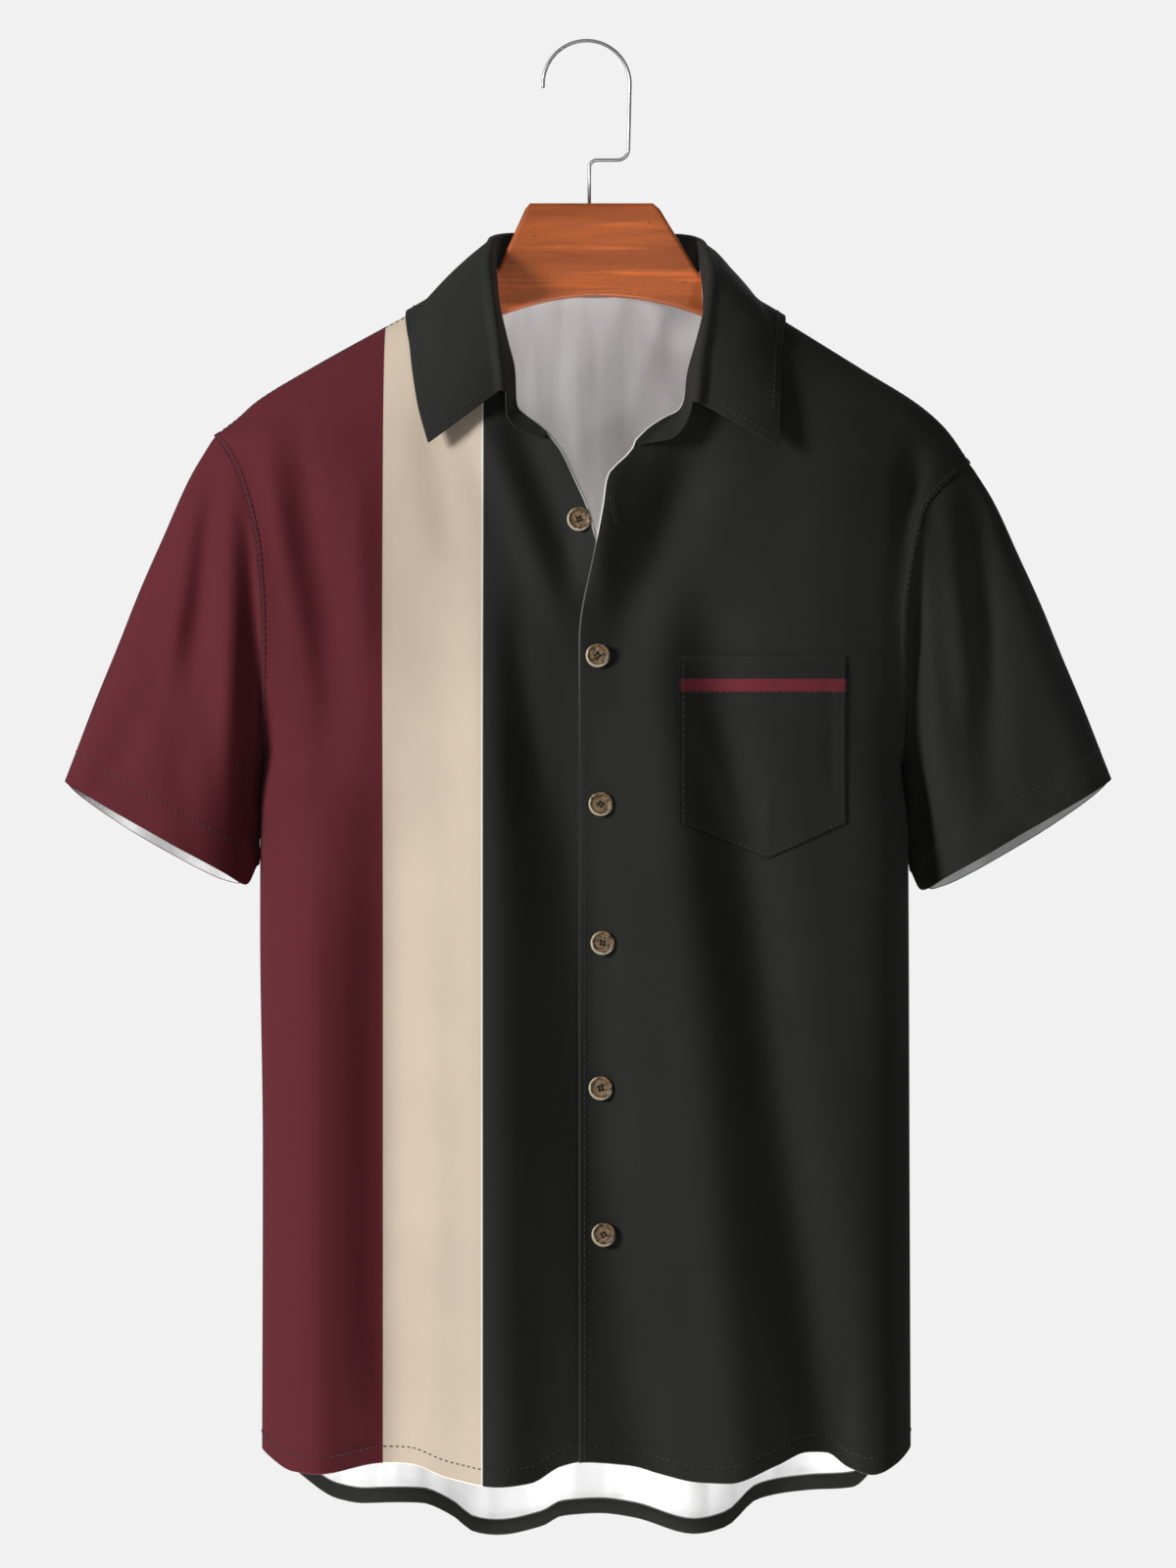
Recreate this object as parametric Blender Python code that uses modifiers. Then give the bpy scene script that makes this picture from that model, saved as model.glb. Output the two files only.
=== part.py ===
"""A short-sleeve bowling shirt, buttoned up, hanging on a wooden hanger with a wire hook.

The origin is the inside top of the hook. X runs to the right as the front is seen, Y to the back, Z up.
All sizes below are in millimetres and become metres where a mesh is made.
"""

from bisect import bisect_right
from collections import namedtuple
from math import cos, exp, pi, radians, sin, sqrt

import bmesh
import bpy
from mathutils import Matrix, Vector
from mathutils.bvhtree import BVHTree

MM = 0.001
OBJECT_NAME = "bowling_shirt_on_hanger"

# ---- cloth ----
WALL = 1.2              # thickness of the cloth
SEAM_GAP = 0.3          # clearance where two pieces meet
SLEEVE_GAP = 0.5        # clearance between a sleeve and the armhole
LAP = 3.0               # the buttoned layer lies this far in front of the layer beneath
LAP_FULL = 26.0         # the lap holds out to here, then eases away
LAP_GONE = 75.0
SHOULDER_SEAM = 6.0     # the shoulder seam lies this far in front of the ridge at the neck
TIP_SEAM = 1.3          # and this far at the shoulder tip
RIDGE_GAP = 0.8         # clearance at the shoulder seam, where the two walls lean together

# ---- how finely the cloth is divided ----
FINE_STEPS = 80         # steps along a seam that is measured before it is divided
COLUMN_CROWDING = 1.15  # a front's columns crowd towards its armhole with this power
FRONT_COLUMNS = 20
SHOULDER_COLUMNS = 9    # columns of the back on each shoulder
NECK_COLUMNS = 12       # columns of the back across the neck
SIDE_ROWS = 10          # rows from the hem to the armpit
ARMHOLE_ROWS = 14       # rows from the armpit to the shoulder tip
SLEEVE_ROWS = 8
LEAF_COLUMNS, TAB_COLUMNS, STAND_ROWS = 42, 5, 3

Station = namedtuple("Station", "z x")
Depth = namedtuple("Depth", "z front back roundness")
Hem = namedtuple("Hem", "x z")
Fold = namedtuple("Fold", "x_top z_top x_low z_low width depth")
Armhole = namedtuple("Armhole", "tip pit front back")
Sleeve = namedtuple("Sleeve", "outer_x outer_z inner_x inner_z depth")
Tab = namedtuple("Tab", "seam_x seam_z top_x lift top_z")
Collar = namedtuple("Collar", "seam_x seam_z top_x top_y top_z edge_x edge_y edge_z")
Place = namedtuple("Place", "at x y z")
Button = namedtuple("Button", "x z")
Outline = namedtuple("Outline", "x z")
Finish = namedtuple("Finish", "colour roughness metallic")

# Where the shoulder ridge lies at each height, from the neck point to the shoulder tip.
RIDGE = {
    "left": [Station(-249, -236), Station(-238, -221.7), Station(-228, -210.6),
             Station(-207, -176.7), Station(-172, -113.4), Station(-142, -59)],
    "right": [Station(-266, 241.2), Station(-245.5, 227), Station(-231, 211.4),
              Station(-207, 173.6), Station(-172, 117.2), Station(-142, 69)],
}
# Below the tip: the armhole seam, then the side seam.
FLANK = {
    "left": [Station(-960, -206), Station(-700, -205), Station(-560, -204), Station(-452, -204),
             Station(-371, -204), Station(-328, -206.5), Station(-303, -211), Station(-277, -219),
             Station(-260, -227.5), Station(-249, -236)],
    "right": [Station(-960, 204), Station(-700, 203), Station(-560, 201), Station(-457, 197),
              Station(-371, 198), Station(-330, 203), Station(-313, 206.5), Station(-298, 210.8),
              Station(-283, 222), Station(-266, 241.2)],
}
BODY_MIDDLE = 3.0       # the middle of the body, from which each side is measured
ARMHOLES = {
    "left": Armhole(tip=-249, pit=-452, front=43, back=40),
    "right": Armhole(tip=-266, pit=-457, front=43, back=40),
}
# How deep the body is in front of and behind its side seams.
DEPTHS = [
    Depth(-960, 66, 60, 2.6), Depth(-700, 64, 57, 2.6), Depth(-520, 64, 57, 2.6), Depth(-400, 63, 58, 2.5),
    Depth(-320, 60, 57, 2.3), Depth(-250, 54, 55, 2.1), Depth(-200, 45, 52, 2.0), Depth(-172, 36, 50, 2.0),
    Depth(-156, 30, 48, 2.0), Depth(-142, 22, 26, 2.0),
]
# The hems, from side seam to side seam.
FRONT_HEM = [
    Hem(-206, -886.6), Hem(-184, -896), Hem(-168, -896.5), Hem(-128, -891), Hem(-112, -891),
    Hem(-86, -898.5), Hem(-58, -902.2), Hem(-35, -900.5), Hem(-17, -891), Hem(-4, -888.5),
    Hem(28, -892), Hem(44, -896.5), Hem(70, -901), Hem(86, -901), Hem(117, -891), Hem(136, -884),
    Hem(149, -885), Hem(162, -894), Hem(177, -898.5), Hem(193, -893), Hem(204, -885.4),
]
BACK_HEM = [
    Hem(-206, -886.6), Hem(-183, -912), Hem(-161, -928), Hem(-143, -932), Hem(-108, -932.4),
    Hem(-88, -939.5), Hem(-72, -950), Hem(-58, -951.4), Hem(-30, -947), Hem(-17, -941), Hem(7, -940),
    Hem(31, -942.5), Hem(68, -950.8), Hem(88, -947), Hem(109, -930), Hem(143, -923.5),
    Hem(170, -920), Hem(185, -905), Hem(204, -885.4),
]
# Front edges, from the collar down: the layer beneath on the left, the buttoned layer on the right.
UNDER_EDGE = [
    Station(-960, 22), Station(-381, 21), Station(-345, 15), Station(-316, 4.6), Station(-298.6, 0),
    Station(-281, -7.6), Station(-260, -17.7), Station(-250.6, -25.6),
]
OVER_EDGE = [
    Station(-960, -4.6), Station(-381, -4.9), Station(-316, 6.1), Station(-296, 9.8),
    Station(-279, 12.2), Station(-261, 27.9), Station(-255.8, 29.9),
]
EDGE_MIDDLE = -440.0    # the front edge's rows above here match the armhole's rows

# Folds: positive depth comes out towards the viewer of that side, negative goes in.
FRONT_FOLDS = [
    Fold(-172, -430, -168, -890, 22, 7), Fold(-122, -380, -122, -890, 24, -6),
    Fold(-62, -280, -56, -890, 28, 8), Fold(-24, -300, -10, -890, 28, -7),
    Fold(28, -340, 76, -890, 28, 8), Fold(70, -370, 132, -890, 28, -9),
    Fold(140, -430, 178, -890, 20, 7), Fold(-192, -250, -160, -420, 14, -5),
    Fold(-64, -236, -14, -366, 16, -4), Fold(62, -250, 22, -372, 18, -5),
    Fold(150, -270, 176, -420, 16, -4),
]
BACK_FOLDS = [
    Fold(-118, -420, -126, -940, 30, 8), Fold(-62, -300, -60, -940, 26, -10),
    Fold(6, -360, 8, -940, 30, 8), Fold(60, -300, 68, -940, 26, -10),
    Fold(118, -420, 128, -940, 30, 8),
]
FOLD_EASE = 200.0       # length over which a fold grows from nothing
SHORT_FOLD = 200.0      # a fold shorter than this eases in and out over a shorter length
SHORT_EASE = 75.0
FOLD_EDGE = 0.14        # share of the half width, next to a side seam, where folds die away

# ---- sleeves: the two ends of each hem as seen from the front ----
SLEEVES = {
    "left": Sleeve(outer_x=-330.5, outer_z=-467, inner_x=-208.5, inner_z=-531, depth=38),
    "right": Sleeve(outer_x=330.5, outer_z=-465.6, inner_x=205.5, inner_z=-532, depth=38),
}
CROWN_GAP = 1.0         # added to the gap over the shoulder, where the sleeve drops away steeply
SLEEVE_CROWN = 5.0      # the upper line of the sleeve bows out by this much
CROWN_OUT, CROWN_UP = 0.9, 0.42     # the way it bows, in x and z
SLEEVE_BACK_DROP = 7.0  # the back of the hem hangs lower than the front

# ---- collar: the free tabs beyond the leaf, then the stations that carry the leaf ----
LEFT_TAB = [
    Tab(-25.6, -250.6, -27.4, 1.5, -253.8), Tab(-32, -245.4, -38, 4, -251.2),
    Tab(-38.8, -240.2, -46.5, 6, -246.8), Tab(-44.2, -235.2, -51, 8, -239),
]
RIGHT_TAB = [
    Tab(56.5, -237, 60.5, 8, -247), Tab(47, -242, 51, 6, -255.5),
    Tab(38, -248, 40, 4, -257.3), Tab(29.9, -255.8, 31, 1.5, -258.8),
]
COLLAR = [
    Collar(-45.6, -229, -51.5, -61, -226, -99.2, -61, -257),
    Collar(-46.2, -213, -54.5, -57, -200, -106.5, -52, -229),
    Collar(-51, -193, -58.5, -46, -171, -111.2, -38, -199),
    Collar(-56.5, -168, -61.5, -27, -144, -113, -18, -181),
    Collar(-59, -142, -59.5, 2, -127, -110, 12, -171),
    Collar(-40, -149.5, -44, 34, -120.5, -78, 45, -168),
    Collar(-20, -154.2, -22, 46.5, -120, -38, 60, -167),
    Collar(5, -156, 5, 51.5, -120, 5, 64, -166),
    Collar(30, -154.2, 32, 46.5, -120, 48, 60, -167),
    Collar(50, -149.5, 54, 34, -121, 88, 45, -169),
    Collar(71.1, -143.3, 70.5, 2, -129, 118, 12, -176),
    Collar(73, -175, 76, -27, -149, 121.5, -18, -185),
    Collar(68, -195, 73, -46, -177, 120.5, -38, -206),
    Collar(62.5, -215, 68.5, -57, -205, 119.5, -52, -232),
    Collar(60.2, -231, 65.5, -61, -232, 118.5, -61, -260),
]
LEFT_NECK, RIGHT_NECK = 4, 10   # the collar's rows at the two shoulder seams
ROLL_RADIUS = 3.0       # the leaf turns over the stand with this radius
ROLL_RISE = 1.4
LEAF_ROWS = 5
LEAF_BOW = 2.5          # the leaf bows up between its roll and its edge
LEAF_CLEARANCE = 3.2    # outer face of the leaf above the panels
STAND_CLEARANCE = 0.8
STAND_INSET = 0.7       # the stand's foot stands this far inside the neckline
STAND_GAP = 0.9         # between the stand and the neckline, and between the leaf and the stand
NEARBY = 0.1            # share of a station, either side, over which a line's direction is taken

# ---- pocket and buttons ----
POCKET_LEFT, POCKET_RIGHT = 57.0, 160.5
POCKET_TOP, POCKET_SIDE, POCKET_POINT = -390.4, -493.5, -515.5
POCKET_POINT_X = 111.4
POCKET_GAP = 0.6
POCKET_REACH = 6.0      # the pocket clears the foremost cloth within this reach of each point
FAR_IN_FRONT = -300.0
POCKET_COLUMNS, POCKET_ROWS = 9, 7

# The first button is on the layer beneath, the rest are done up.
BUTTONS = [
    Button(-5.5, -305.0), Button(6.1, -389.4), Button(7.9, -481.4), Button(9.1, -567.5),
    Button(7.9, -657.8), Button(9.7, -748.7),
]
BUTTON_RADIUS, BUTTON_THICK = 7.5, 2.6
BUTTON_RIM, BUTTON_DISH = 1.4, 0.7
BUTTON_ROUND, BUTTON_DRAFT = 0.6, 0.3
BUTTON_SIDES = 20
BUTTON_GAP = 0.35
THREAD_HOLE, THREAD_SPREAD, HOLE_SIDES = 0.9, 1.5, 6
QUARTERS = (pi / 4, 3 * pi / 4, 5 * pi / 4, 7 * pi / 4)

# ---- hanger ----
WOOD_THICK = 13.0
WOOD_ROUND = 3.0
WOOD_TOP, WOOD_CHAMFER = -102.1, -105.8
WOOD_TOP_LEFT, WOOD_TOP_RIGHT = -36.6, 40.9
WOOD_CHAMFER_LEFT, WOOD_CHAMFER_RIGHT = -39.7, 45.3
WOOD_NECK_LEFT, WOOD_NECK_RIGHT = -57.5, 69.4
ARM_BELOW_NECK, ARM_BELOW_TIP = 2.8, 3.9
ARM_TIP_LEFT, ARM_TIP_RIGHT = -199.0, 201.0
ARM_DEEP, ARM_SLIM = 30.0, 17.0
ARM_END = (55, 20, -20, -55)        # degrees round the end of an arm
ARM_END_DROP = 3.0
ARM_STEPS, ARCH_STEPS = 8, 12
ARCH_TOP_X, ARCH_TOP_Z = 6.2, -160.6
ARCH_LEFT_X, ARCH_RIGHT_X, ARCH_FOOT_Z = -56.4, 73.2, -173.3

# ---- hook ----
WIRE_RADIUS = 1.1
HOOK_X, HOOK_Z, HOOK_RADIUS = -0.9, -26.4, 27.5
HOOK_TIP_ANGLE = 183.0
HOOK_SIDE_X, HOOK_CRANK_Z, SHANK_X = 25.6, -74.4, 0.8
HOOK_SIDE_BEND, HOOK_SHANK_BEND = 7.0, 5.0
SHANK_DEPTH = 8.0
BORE_SIDES = 12
HOOK_STEPS, WIRE_STEPS = 24, 5      # steps round the hook and round each of its bends

FINISHES = {
    "maroon": Finish((0.112, 0.022, 0.030, 1), roughness=0.9, metallic=0),
    "black": Finish((0.022, 0.022, 0.021, 1), roughness=0.9, metallic=0),
    "coconut": Finish((0.16, 0.10, 0.05, 1), roughness=0.5, metallic=0),
    "wood": Finish((0.40, 0.085, 0.022, 1), roughness=0.4, metallic=0),
    "steel": Finish((0.55, 0.55, 0.56, 1), roughness=0.3, metallic=1),
}


class Curve:
    """A smooth curve, free of overshoot, through one column of a table, read along another."""

    def __init__(self, rows, along, column):
        self.at = [getattr(row, along) for row in rows]
        self.value = [getattr(row, column) for row in rows]
        steps = [b - a for a, b in zip(self.at, self.at[1:])]
        rises = [(b - a) / step for a, b, step in zip(self.value, self.value[1:], steps)]
        inner = [0.0 if a * b <= 0 else 2 * a * b / (a + b) for a, b in zip(rises, rises[1:])]
        self.slope = [rises[0]] + inner + [rises[-1]]

    def __call__(self, at):
        at = min(max(at, self.at[0]), self.at[-1])
        i = min(bisect_right(self.at, at) - 1, len(self.at) - 2)
        step = self.at[i + 1] - self.at[i]
        t = (at - self.at[i]) / step
        start = self.value[i] * (1 + 2 * t) * (1 - t) ** 2 + self.slope[i] * step * t * (1 - t) ** 2
        end = self.value[i + 1] * (3 - 2 * t) * t ** 2 + self.slope[i + 1] * step * (t - 1) * t ** 2
        return start + end


class Path:
    """A line through points that is read by the share of its length."""

    def __init__(self, points):
        self.points = [Vector(point) for point in points]
        self.length = [0.0]
        for a, b in zip(self.points, self.points[1:]):
            self.length.append(self.length[-1] + (b - a).length)

    def __call__(self, share):
        at = min(max(share, 0.0), 1.0) * self.length[-1]
        i = min(bisect_right(self.length, at) - 1, len(self.points) - 2)
        step = self.length[i + 1] - self.length[i]
        return self.points[i].lerp(self.points[i + 1], (at - self.length[i]) / step)


def smoothstep(low, high, at):
    """0 below low, 1 above high, and an eased rise between."""
    t = min(max((at - low) / (high - low), 0.0), 1.0)
    return t * t * (3 - 2 * t)


ridge_x = {side: Curve(rows, "z", "x") for side, rows in RIDGE.items()}
flank_x = {side: Curve(rows, "z", "x") for side, rows in FLANK.items()}
front_depth = Curve(DEPTHS, "z", "front")
back_depth = Curve(DEPTHS, "z", "back")
roundness = Curve(DEPTHS, "z", "roundness")
front_hem = Curve(FRONT_HEM, "x", "z")
back_hem = Curve(BACK_HEM, "x", "z")
under_edge = Curve(UNDER_EDGE, "z", "x")
over_edge = Curve(OVER_EDGE, "z", "x")


# ---- the body's form ----

def edge_x(side, z):
    """X of the body's outer edge at a height: the ridge above the tip, armhole and side seam below."""
    return ridge_x[side](z) if z > ARMHOLES[side].tip else flank_x[side](z)


def rim_share(side, z):
    """How far round the armhole's oval a height is, as the oval's share of its full depth."""
    hole = ARMHOLES[side]
    middle, half = (hole.tip + hole.pit) / 2, (hole.tip - hole.pit) / 2
    return sqrt(max(0.0, 1 - ((z - middle) / half) ** 2))


def fold_depth(folds, x, z):
    """Sum of the folds' push at a place on a panel."""
    total = 0.0
    for fold in folds:
        share = (fold.z_top - z) / (fold.z_top - fold.z_low)
        centre = fold.x_top + (fold.x_low - fold.x_top) * min(max(share, 0.0), 1.0)
        grown = smoothstep(0, FOLD_EASE, fold.z_top - z)
        if fold.z_top - fold.z_low < SHORT_FOLD:
            grown = smoothstep(0, SHORT_EASE, fold.z_top - z) * smoothstep(-SHORT_EASE, 0, z - fold.z_low)
        total += fold.depth * grown * exp(-((x - centre) / fold.width) ** 2)
    return total


def body_y(x, z, back=False, folded=True):
    """Y of the outside of the front, or of the back, at a place seen from the front.

    Each level is half of a rounded oval. Beside an armhole the oval is wider than the panel, so that it
    comes to the seam at the armhole's own depth.
    """
    side = "left" if x < BODY_MIDDLE else "right"
    reach = abs(edge_x(side, z) - BODY_MIDDLE)
    beside = min(1.0, abs(x - BODY_MIDDLE) / reach)
    hole = ARMHOLES[side]
    rim = rim_share(side, z) * (hole.back if back else hole.front)
    depth = (back_depth if back else front_depth)(z)
    power = roundness(z)
    seam_share = (1 - (rim / depth) ** power) ** (1 / power)
    y = depth * (1 - (beside * seam_share) ** power) ** (1 / power)
    if folded:
        y += fold_depth(BACK_FOLDS if back else FRONT_FOLDS, x, z) * smoothstep(0, FOLD_EDGE, 1 - beside)
    return y if back else -y


def over_y(x, z):
    """Y of the outside of the buttoned layer."""
    return body_y(x, z) - LAP * (1 - smoothstep(LAP_FULL, LAP_GONE, x))


def side_of(x):
    """Which shoulder a place is on."""
    return "left" if x < 0 else "right"


def ridge_z(x):
    """Height of the shoulder ridge above a place."""
    return height_at(x, 0.0)


def height_at(x, forward):
    """Height on the shoulder where the front lies the given distance forward of the ridge."""
    high, low = RIDGE["left"][-1].z, ARMHOLES[side_of(x)].tip
    for _ in range(30):
        middle = (high + low) / 2
        outside = abs(x) > abs(edge_x(side_of(x), middle))
        if outside or -body_y(x, middle, folded=False) < forward:
            high = middle
        else:
            low = middle
    return (high + low) / 2


def seam_forward(x, neck, tip):
    """How far in front of the ridge the shoulder seam runs, most at the neck and least at the tip."""
    return TIP_SEAM + (SHOULDER_SEAM - TIP_SEAM) * (tip - x) / (tip - neck)


# ---- making meshes ----

def material(name):
    """The named Principled material, made once."""
    if name in bpy.data.materials:
        return bpy.data.materials[name]
    finish = FINISHES[name]
    made = bpy.data.materials.new(name)
    made.use_nodes = True
    shader = made.node_tree.nodes["Principled BSDF"]
    shader.inputs["Base Color"].default_value = finish.colour
    shader.inputs["Roughness"].default_value = finish.roughness
    shader.inputs["Metallic"].default_value = finish.metallic
    return made


def collection(name):
    """The named collection, made once."""
    if name not in bpy.data.collections:
        bpy.context.scene.collection.children.link(bpy.data.collections.new(name))
    return bpy.data.collections[name]


def add_object(name, data, material_name):
    """Put a mesh or curve in the scene under its name, with its material."""
    made = bpy.data.objects.new(name, data)
    collection(OBJECT_NAME).objects.link(made)
    data.materials.append(material(material_name))
    return made


def grid_faces(rows):
    """Vertices and quads of a grid; a missing point leaves its quads out."""
    number, points, faces = {}, [], []
    for i, row in enumerate(rows):
        for j, point in enumerate(row):
            if point is not None:
                number[i, j] = len(points)
                points.append(point)
    for i in range(len(rows) - 1):
        for j in range(len(rows[0]) - 1):
            corners = [(i, j), (i, j + 1), (i + 1, j + 1), (i + 1, j)]
            if all(corner in number for corner in corners):
                faces.append([number[corner] for corner in corners])
    return points, faces


def cloth(name, rows, material_name, closed=False, wall=WALL):
    """A wall of cloth: a grid of points on its outer face, with its thickness inwards."""
    points, faces = grid_faces(rows)
    mesh = bpy.data.meshes.new(name)
    mesh.from_pydata([point * MM for point in points], [], faces)
    if closed:
        shape = bmesh.new()
        shape.from_mesh(mesh)
        bmesh.ops.remove_doubles(shape, verts=shape.verts, dist=0.00001)
        shape.to_mesh(mesh)
        shape.free()
    mesh.shade_smooth()
    made = add_object(name, mesh, material_name)
    shell = made.modifiers.new("wall", "SOLIDIFY")
    shell.thickness = wall * MM
    shell.offset = -1
    shell.use_even_offset = True
    return made


def cutter(name, places, radius, depth, sides):
    """Round upright pegs at the places, to be taken out of another object."""
    shape = bmesh.new()
    for place in places:
        peg = bmesh.ops.create_cone(shape, cap_ends=True, segments=sides, radius1=radius * MM,
                                    radius2=radius * MM, depth=depth * MM)
        bmesh.ops.translate(shape, verts=peg["verts"], vec=place * MM)
    mesh = bpy.data.meshes.new(name)
    shape.to_mesh(mesh)
    shape.free()
    made = bpy.data.objects.new(name, mesh)
    collection("cutters").objects.link(made)
    made.hide_render = True
    made.display_type = "WIRE"
    return made


def coons(left, right, bottom, top, across, up):
    """Points stretched between four edges given as lists, row by row from the bottom."""
    rows = []
    for i, v in enumerate(up):
        row = []
        for j, u in enumerate(across):
            ruled = left[i] * (1 - u) + right[i] * u + bottom[j] * (1 - v) + top[j] * v
            corners = (left[0] * (1 - u) + right[0] * u) * (1 - v) + (left[-1] * (1 - u) + right[-1] * u) * v
            row.append(ruled - corners)
        rows.append(row)
    return rows


def shares(*paths):
    """The mean share of the length at each of the paths' points."""
    totals = []
    for points in paths:
        lengths = [0.0]
        for a, b in zip(points, points[1:]):
            lengths.append(lengths[-1] + (b - a).length)
        totals.append([length / lengths[-1] for length in lengths])
    return [sum(row) / len(paths) for row in zip(*totals)]


# ---- fronts and back ----

def flank_points(side):
    """The panel's outer edge in x and z: up the side seam, then up the armhole to the tip."""
    hole = ARMHOLES[side]
    hem = front_hem(flank_x[side](FRONT_HEM[0].z))
    heights = [hem + (hole.pit - hem) * i / SIDE_ROWS for i in range(SIDE_ROWS)]
    middle, half = (hole.tip + hole.pit) / 2, (hole.tip - hole.pit) / 2
    heights += [middle - half * cos(pi * i / ARMHOLE_ROWS) for i in range(ARMHOLE_ROWS + 1)]
    return [Vector((flank_x[side](z), z)) for z in heights]


def numbered(points):
    """One smooth curve for each axis through the points, read by the points' number."""
    rows = [Place(number, *point) for number, point in enumerate(points)]
    return [Curve(rows, "at", axis) for axis in Place._fields[1:1 + len(points[0])]]


neckline_rows = [*LEFT_TAB, *COLLAR, *RIGHT_TAB]
left_neck_at, right_neck_at = len(LEFT_TAB) + LEFT_NECK, len(LEFT_TAB) + RIGHT_NECK
neckline_x, _, neckline_z = numbered([(row.seam_x, 0, row.seam_z) for row in neckline_rows])
back_neckline = Curve(COLLAR[LEFT_NECK:RIGHT_NECK + 1], "seam_x", "seam_z")
NECKS = (COLLAR[LEFT_NECK].seam_x, COLLAR[RIGHT_NECK].seam_x)


def neck_place(at):
    """A point of the neckline, by its place among the collar's stations."""
    x = neckline_x(at)
    if left_neck_at < at < right_neck_at:
        z = back_neckline(x)
        return Vector((x, body_y(x, z, back=True), z))
    z = neckline_z(at)
    return Vector((x, body_y(x, z), z))


def neck_seam(side):
    """The front neckline in x and z, from the front edge to the side of the neck."""
    first, last = (0, left_neck_at) if side == "left" else (len(neckline_rows) - 1, right_neck_at)
    places = [neck_place(first + (last - first) * k / FINE_STEPS) for k in range(FINE_STEPS + 1)]
    return [Vector((place.x, place.z)) for place in places]


def front_edge_points(side):
    """The inner edge of a front: up the buttoned edge, then along the neckline to the shoulder seam."""
    edge = under_edge if side == "left" else over_edge
    corner = (UNDER_EDGE if side == "left" else OVER_EDGE)[-1]
    hem = front_hem(edge(FRONT_HEM[0].z))
    heights = [hem + (EDGE_MIDDLE - hem) * i / SIDE_ROWS for i in range(SIDE_ROWS)]
    rise = ARMHOLE_ROWS // 2
    heights += [EDGE_MIDDLE + (corner.z - EDGE_MIDDLE) * i / rise for i in range(rise)]
    points = [Vector((edge(z), z)) for z in heights]
    seam = [place for place in neck_seam(side) if -body_y(*place, folded=False) > SHOULDER_SEAM]
    end_x = seam[-1].x
    neckline = Path([*seam, Vector((end_x, height_at(end_x, SHOULDER_SEAM)))])
    return points + [neckline(sin(pi / 2 * i / rise)) for i in range(rise + 1)]


def front_panel(name, side, material_name, surface):
    """One front: a grid between its buttoned edge, neckline, shoulder seam, armhole, side and hem."""
    flank = flank_points(side)
    inner = front_edge_points(side)
    neck_x, tip_x = inner[-1].x, flank[-1].x
    across = [sin(pi / 2 * j / FRONT_COLUMNS) ** COLUMN_CROWDING for j in range(FRONT_COLUMNS + 1)]
    bottom, top = [], []
    for u in across:
        x = inner[0].x + (flank[0].x - inner[0].x) * u
        bottom.append(Vector((x, front_hem(x))))
        x = neck_x + (tip_x - neck_x) * u
        top.append(Vector((x, height_at(x, seam_forward(x, neck_x, tip_x)))))
    flank[-1] = top[-1]
    rows = coons(inner, flank, bottom, top, across, shares(inner, flank))
    rows = [[Vector((p.x, surface(p.x, p.y), p.y)) for p in row] for row in rows]
    for row in rows:
        row[-1].y = min(row[-1].y, -SEAM_GAP)
    rows[-1][-1].y = -TIP_SEAM
    if side == "left":
        rows = [row[::-1] for row in rows]
    return cloth(name, rows, material_name), rows


def back_top(x):
    """The back's upper edge at a place: the ridge on the shoulders, the neckline between."""
    return back_neckline(x) if NECKS[0] < x < NECKS[1] else ridge_z(x)


def over_ridge(top, tips, share):
    """A row of the back that comes forward over the ridge; there is none across the neck."""
    row = []
    for point in top:
        if NECKS[0] < point.x < NECKS[1]:
            row.append(None)
            continue
        side = 0 if point.x < 0 else 1
        forward = (seam_forward(point.x, NECKS[side], tips[side]) - RIDGE_GAP) * share
        row.append(Vector((point.x, -forward, height_at(point.x, forward))))
    return row


def back_columns(tips):
    """X along the back's upper edge, close set at the tips and at each side of the neck."""
    ease = [sin(pi / 2 * j / SHOULDER_COLUMNS) for j in range(SHOULDER_COLUMNS)]
    left = [NECKS[0] + (tips[0] - NECKS[0]) * u for u in ease]
    right = [NECKS[1] + (tips[1] - NECKS[1]) * u for u in ease]
    round_neck = [(1 - cos(pi * j / NECK_COLUMNS)) / 2 for j in range(1, NECK_COLUMNS)]
    between = [NECKS[0] + (NECKS[1] - NECKS[0]) * u for u in round_neck]
    return [tips[0], *left[::-1], *between, *right, tips[1]]


def back_panel():
    """The back: one grid from side to side that comes forward over the shoulders to the seam."""
    left, right = flank_points("left"), flank_points("right")
    tips = [left[-1].x, right[-1].x]
    top = [Vector((x, back_top(x))) for x in back_columns(tips)]
    across = [(point.x - tips[0]) / (tips[1] - tips[0]) for point in top]
    bottom = []
    for u in across:
        x = left[0].x + (right[0].x - left[0].x) * u
        bottom.append(Vector((x, back_hem(x))))
    rows = coons(left, right, bottom, top, across, shares(left, right))
    rows = [[Vector((p.x, body_y(p.x, p.y, back=True), p.y)) for p in row] for row in rows]
    for row in rows:
        for edge in (row[0], row[-1]):
            edge.y = max(edge.y, SEAM_GAP)
    rows.append(over_ridge(top, tips, 0.5))
    rows.append(over_ridge(top, tips, 1.0))
    rows = [row[::-1] for row in rows]
    return cloth("back", rows, "black"), rows


# ---- sleeves ----

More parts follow.
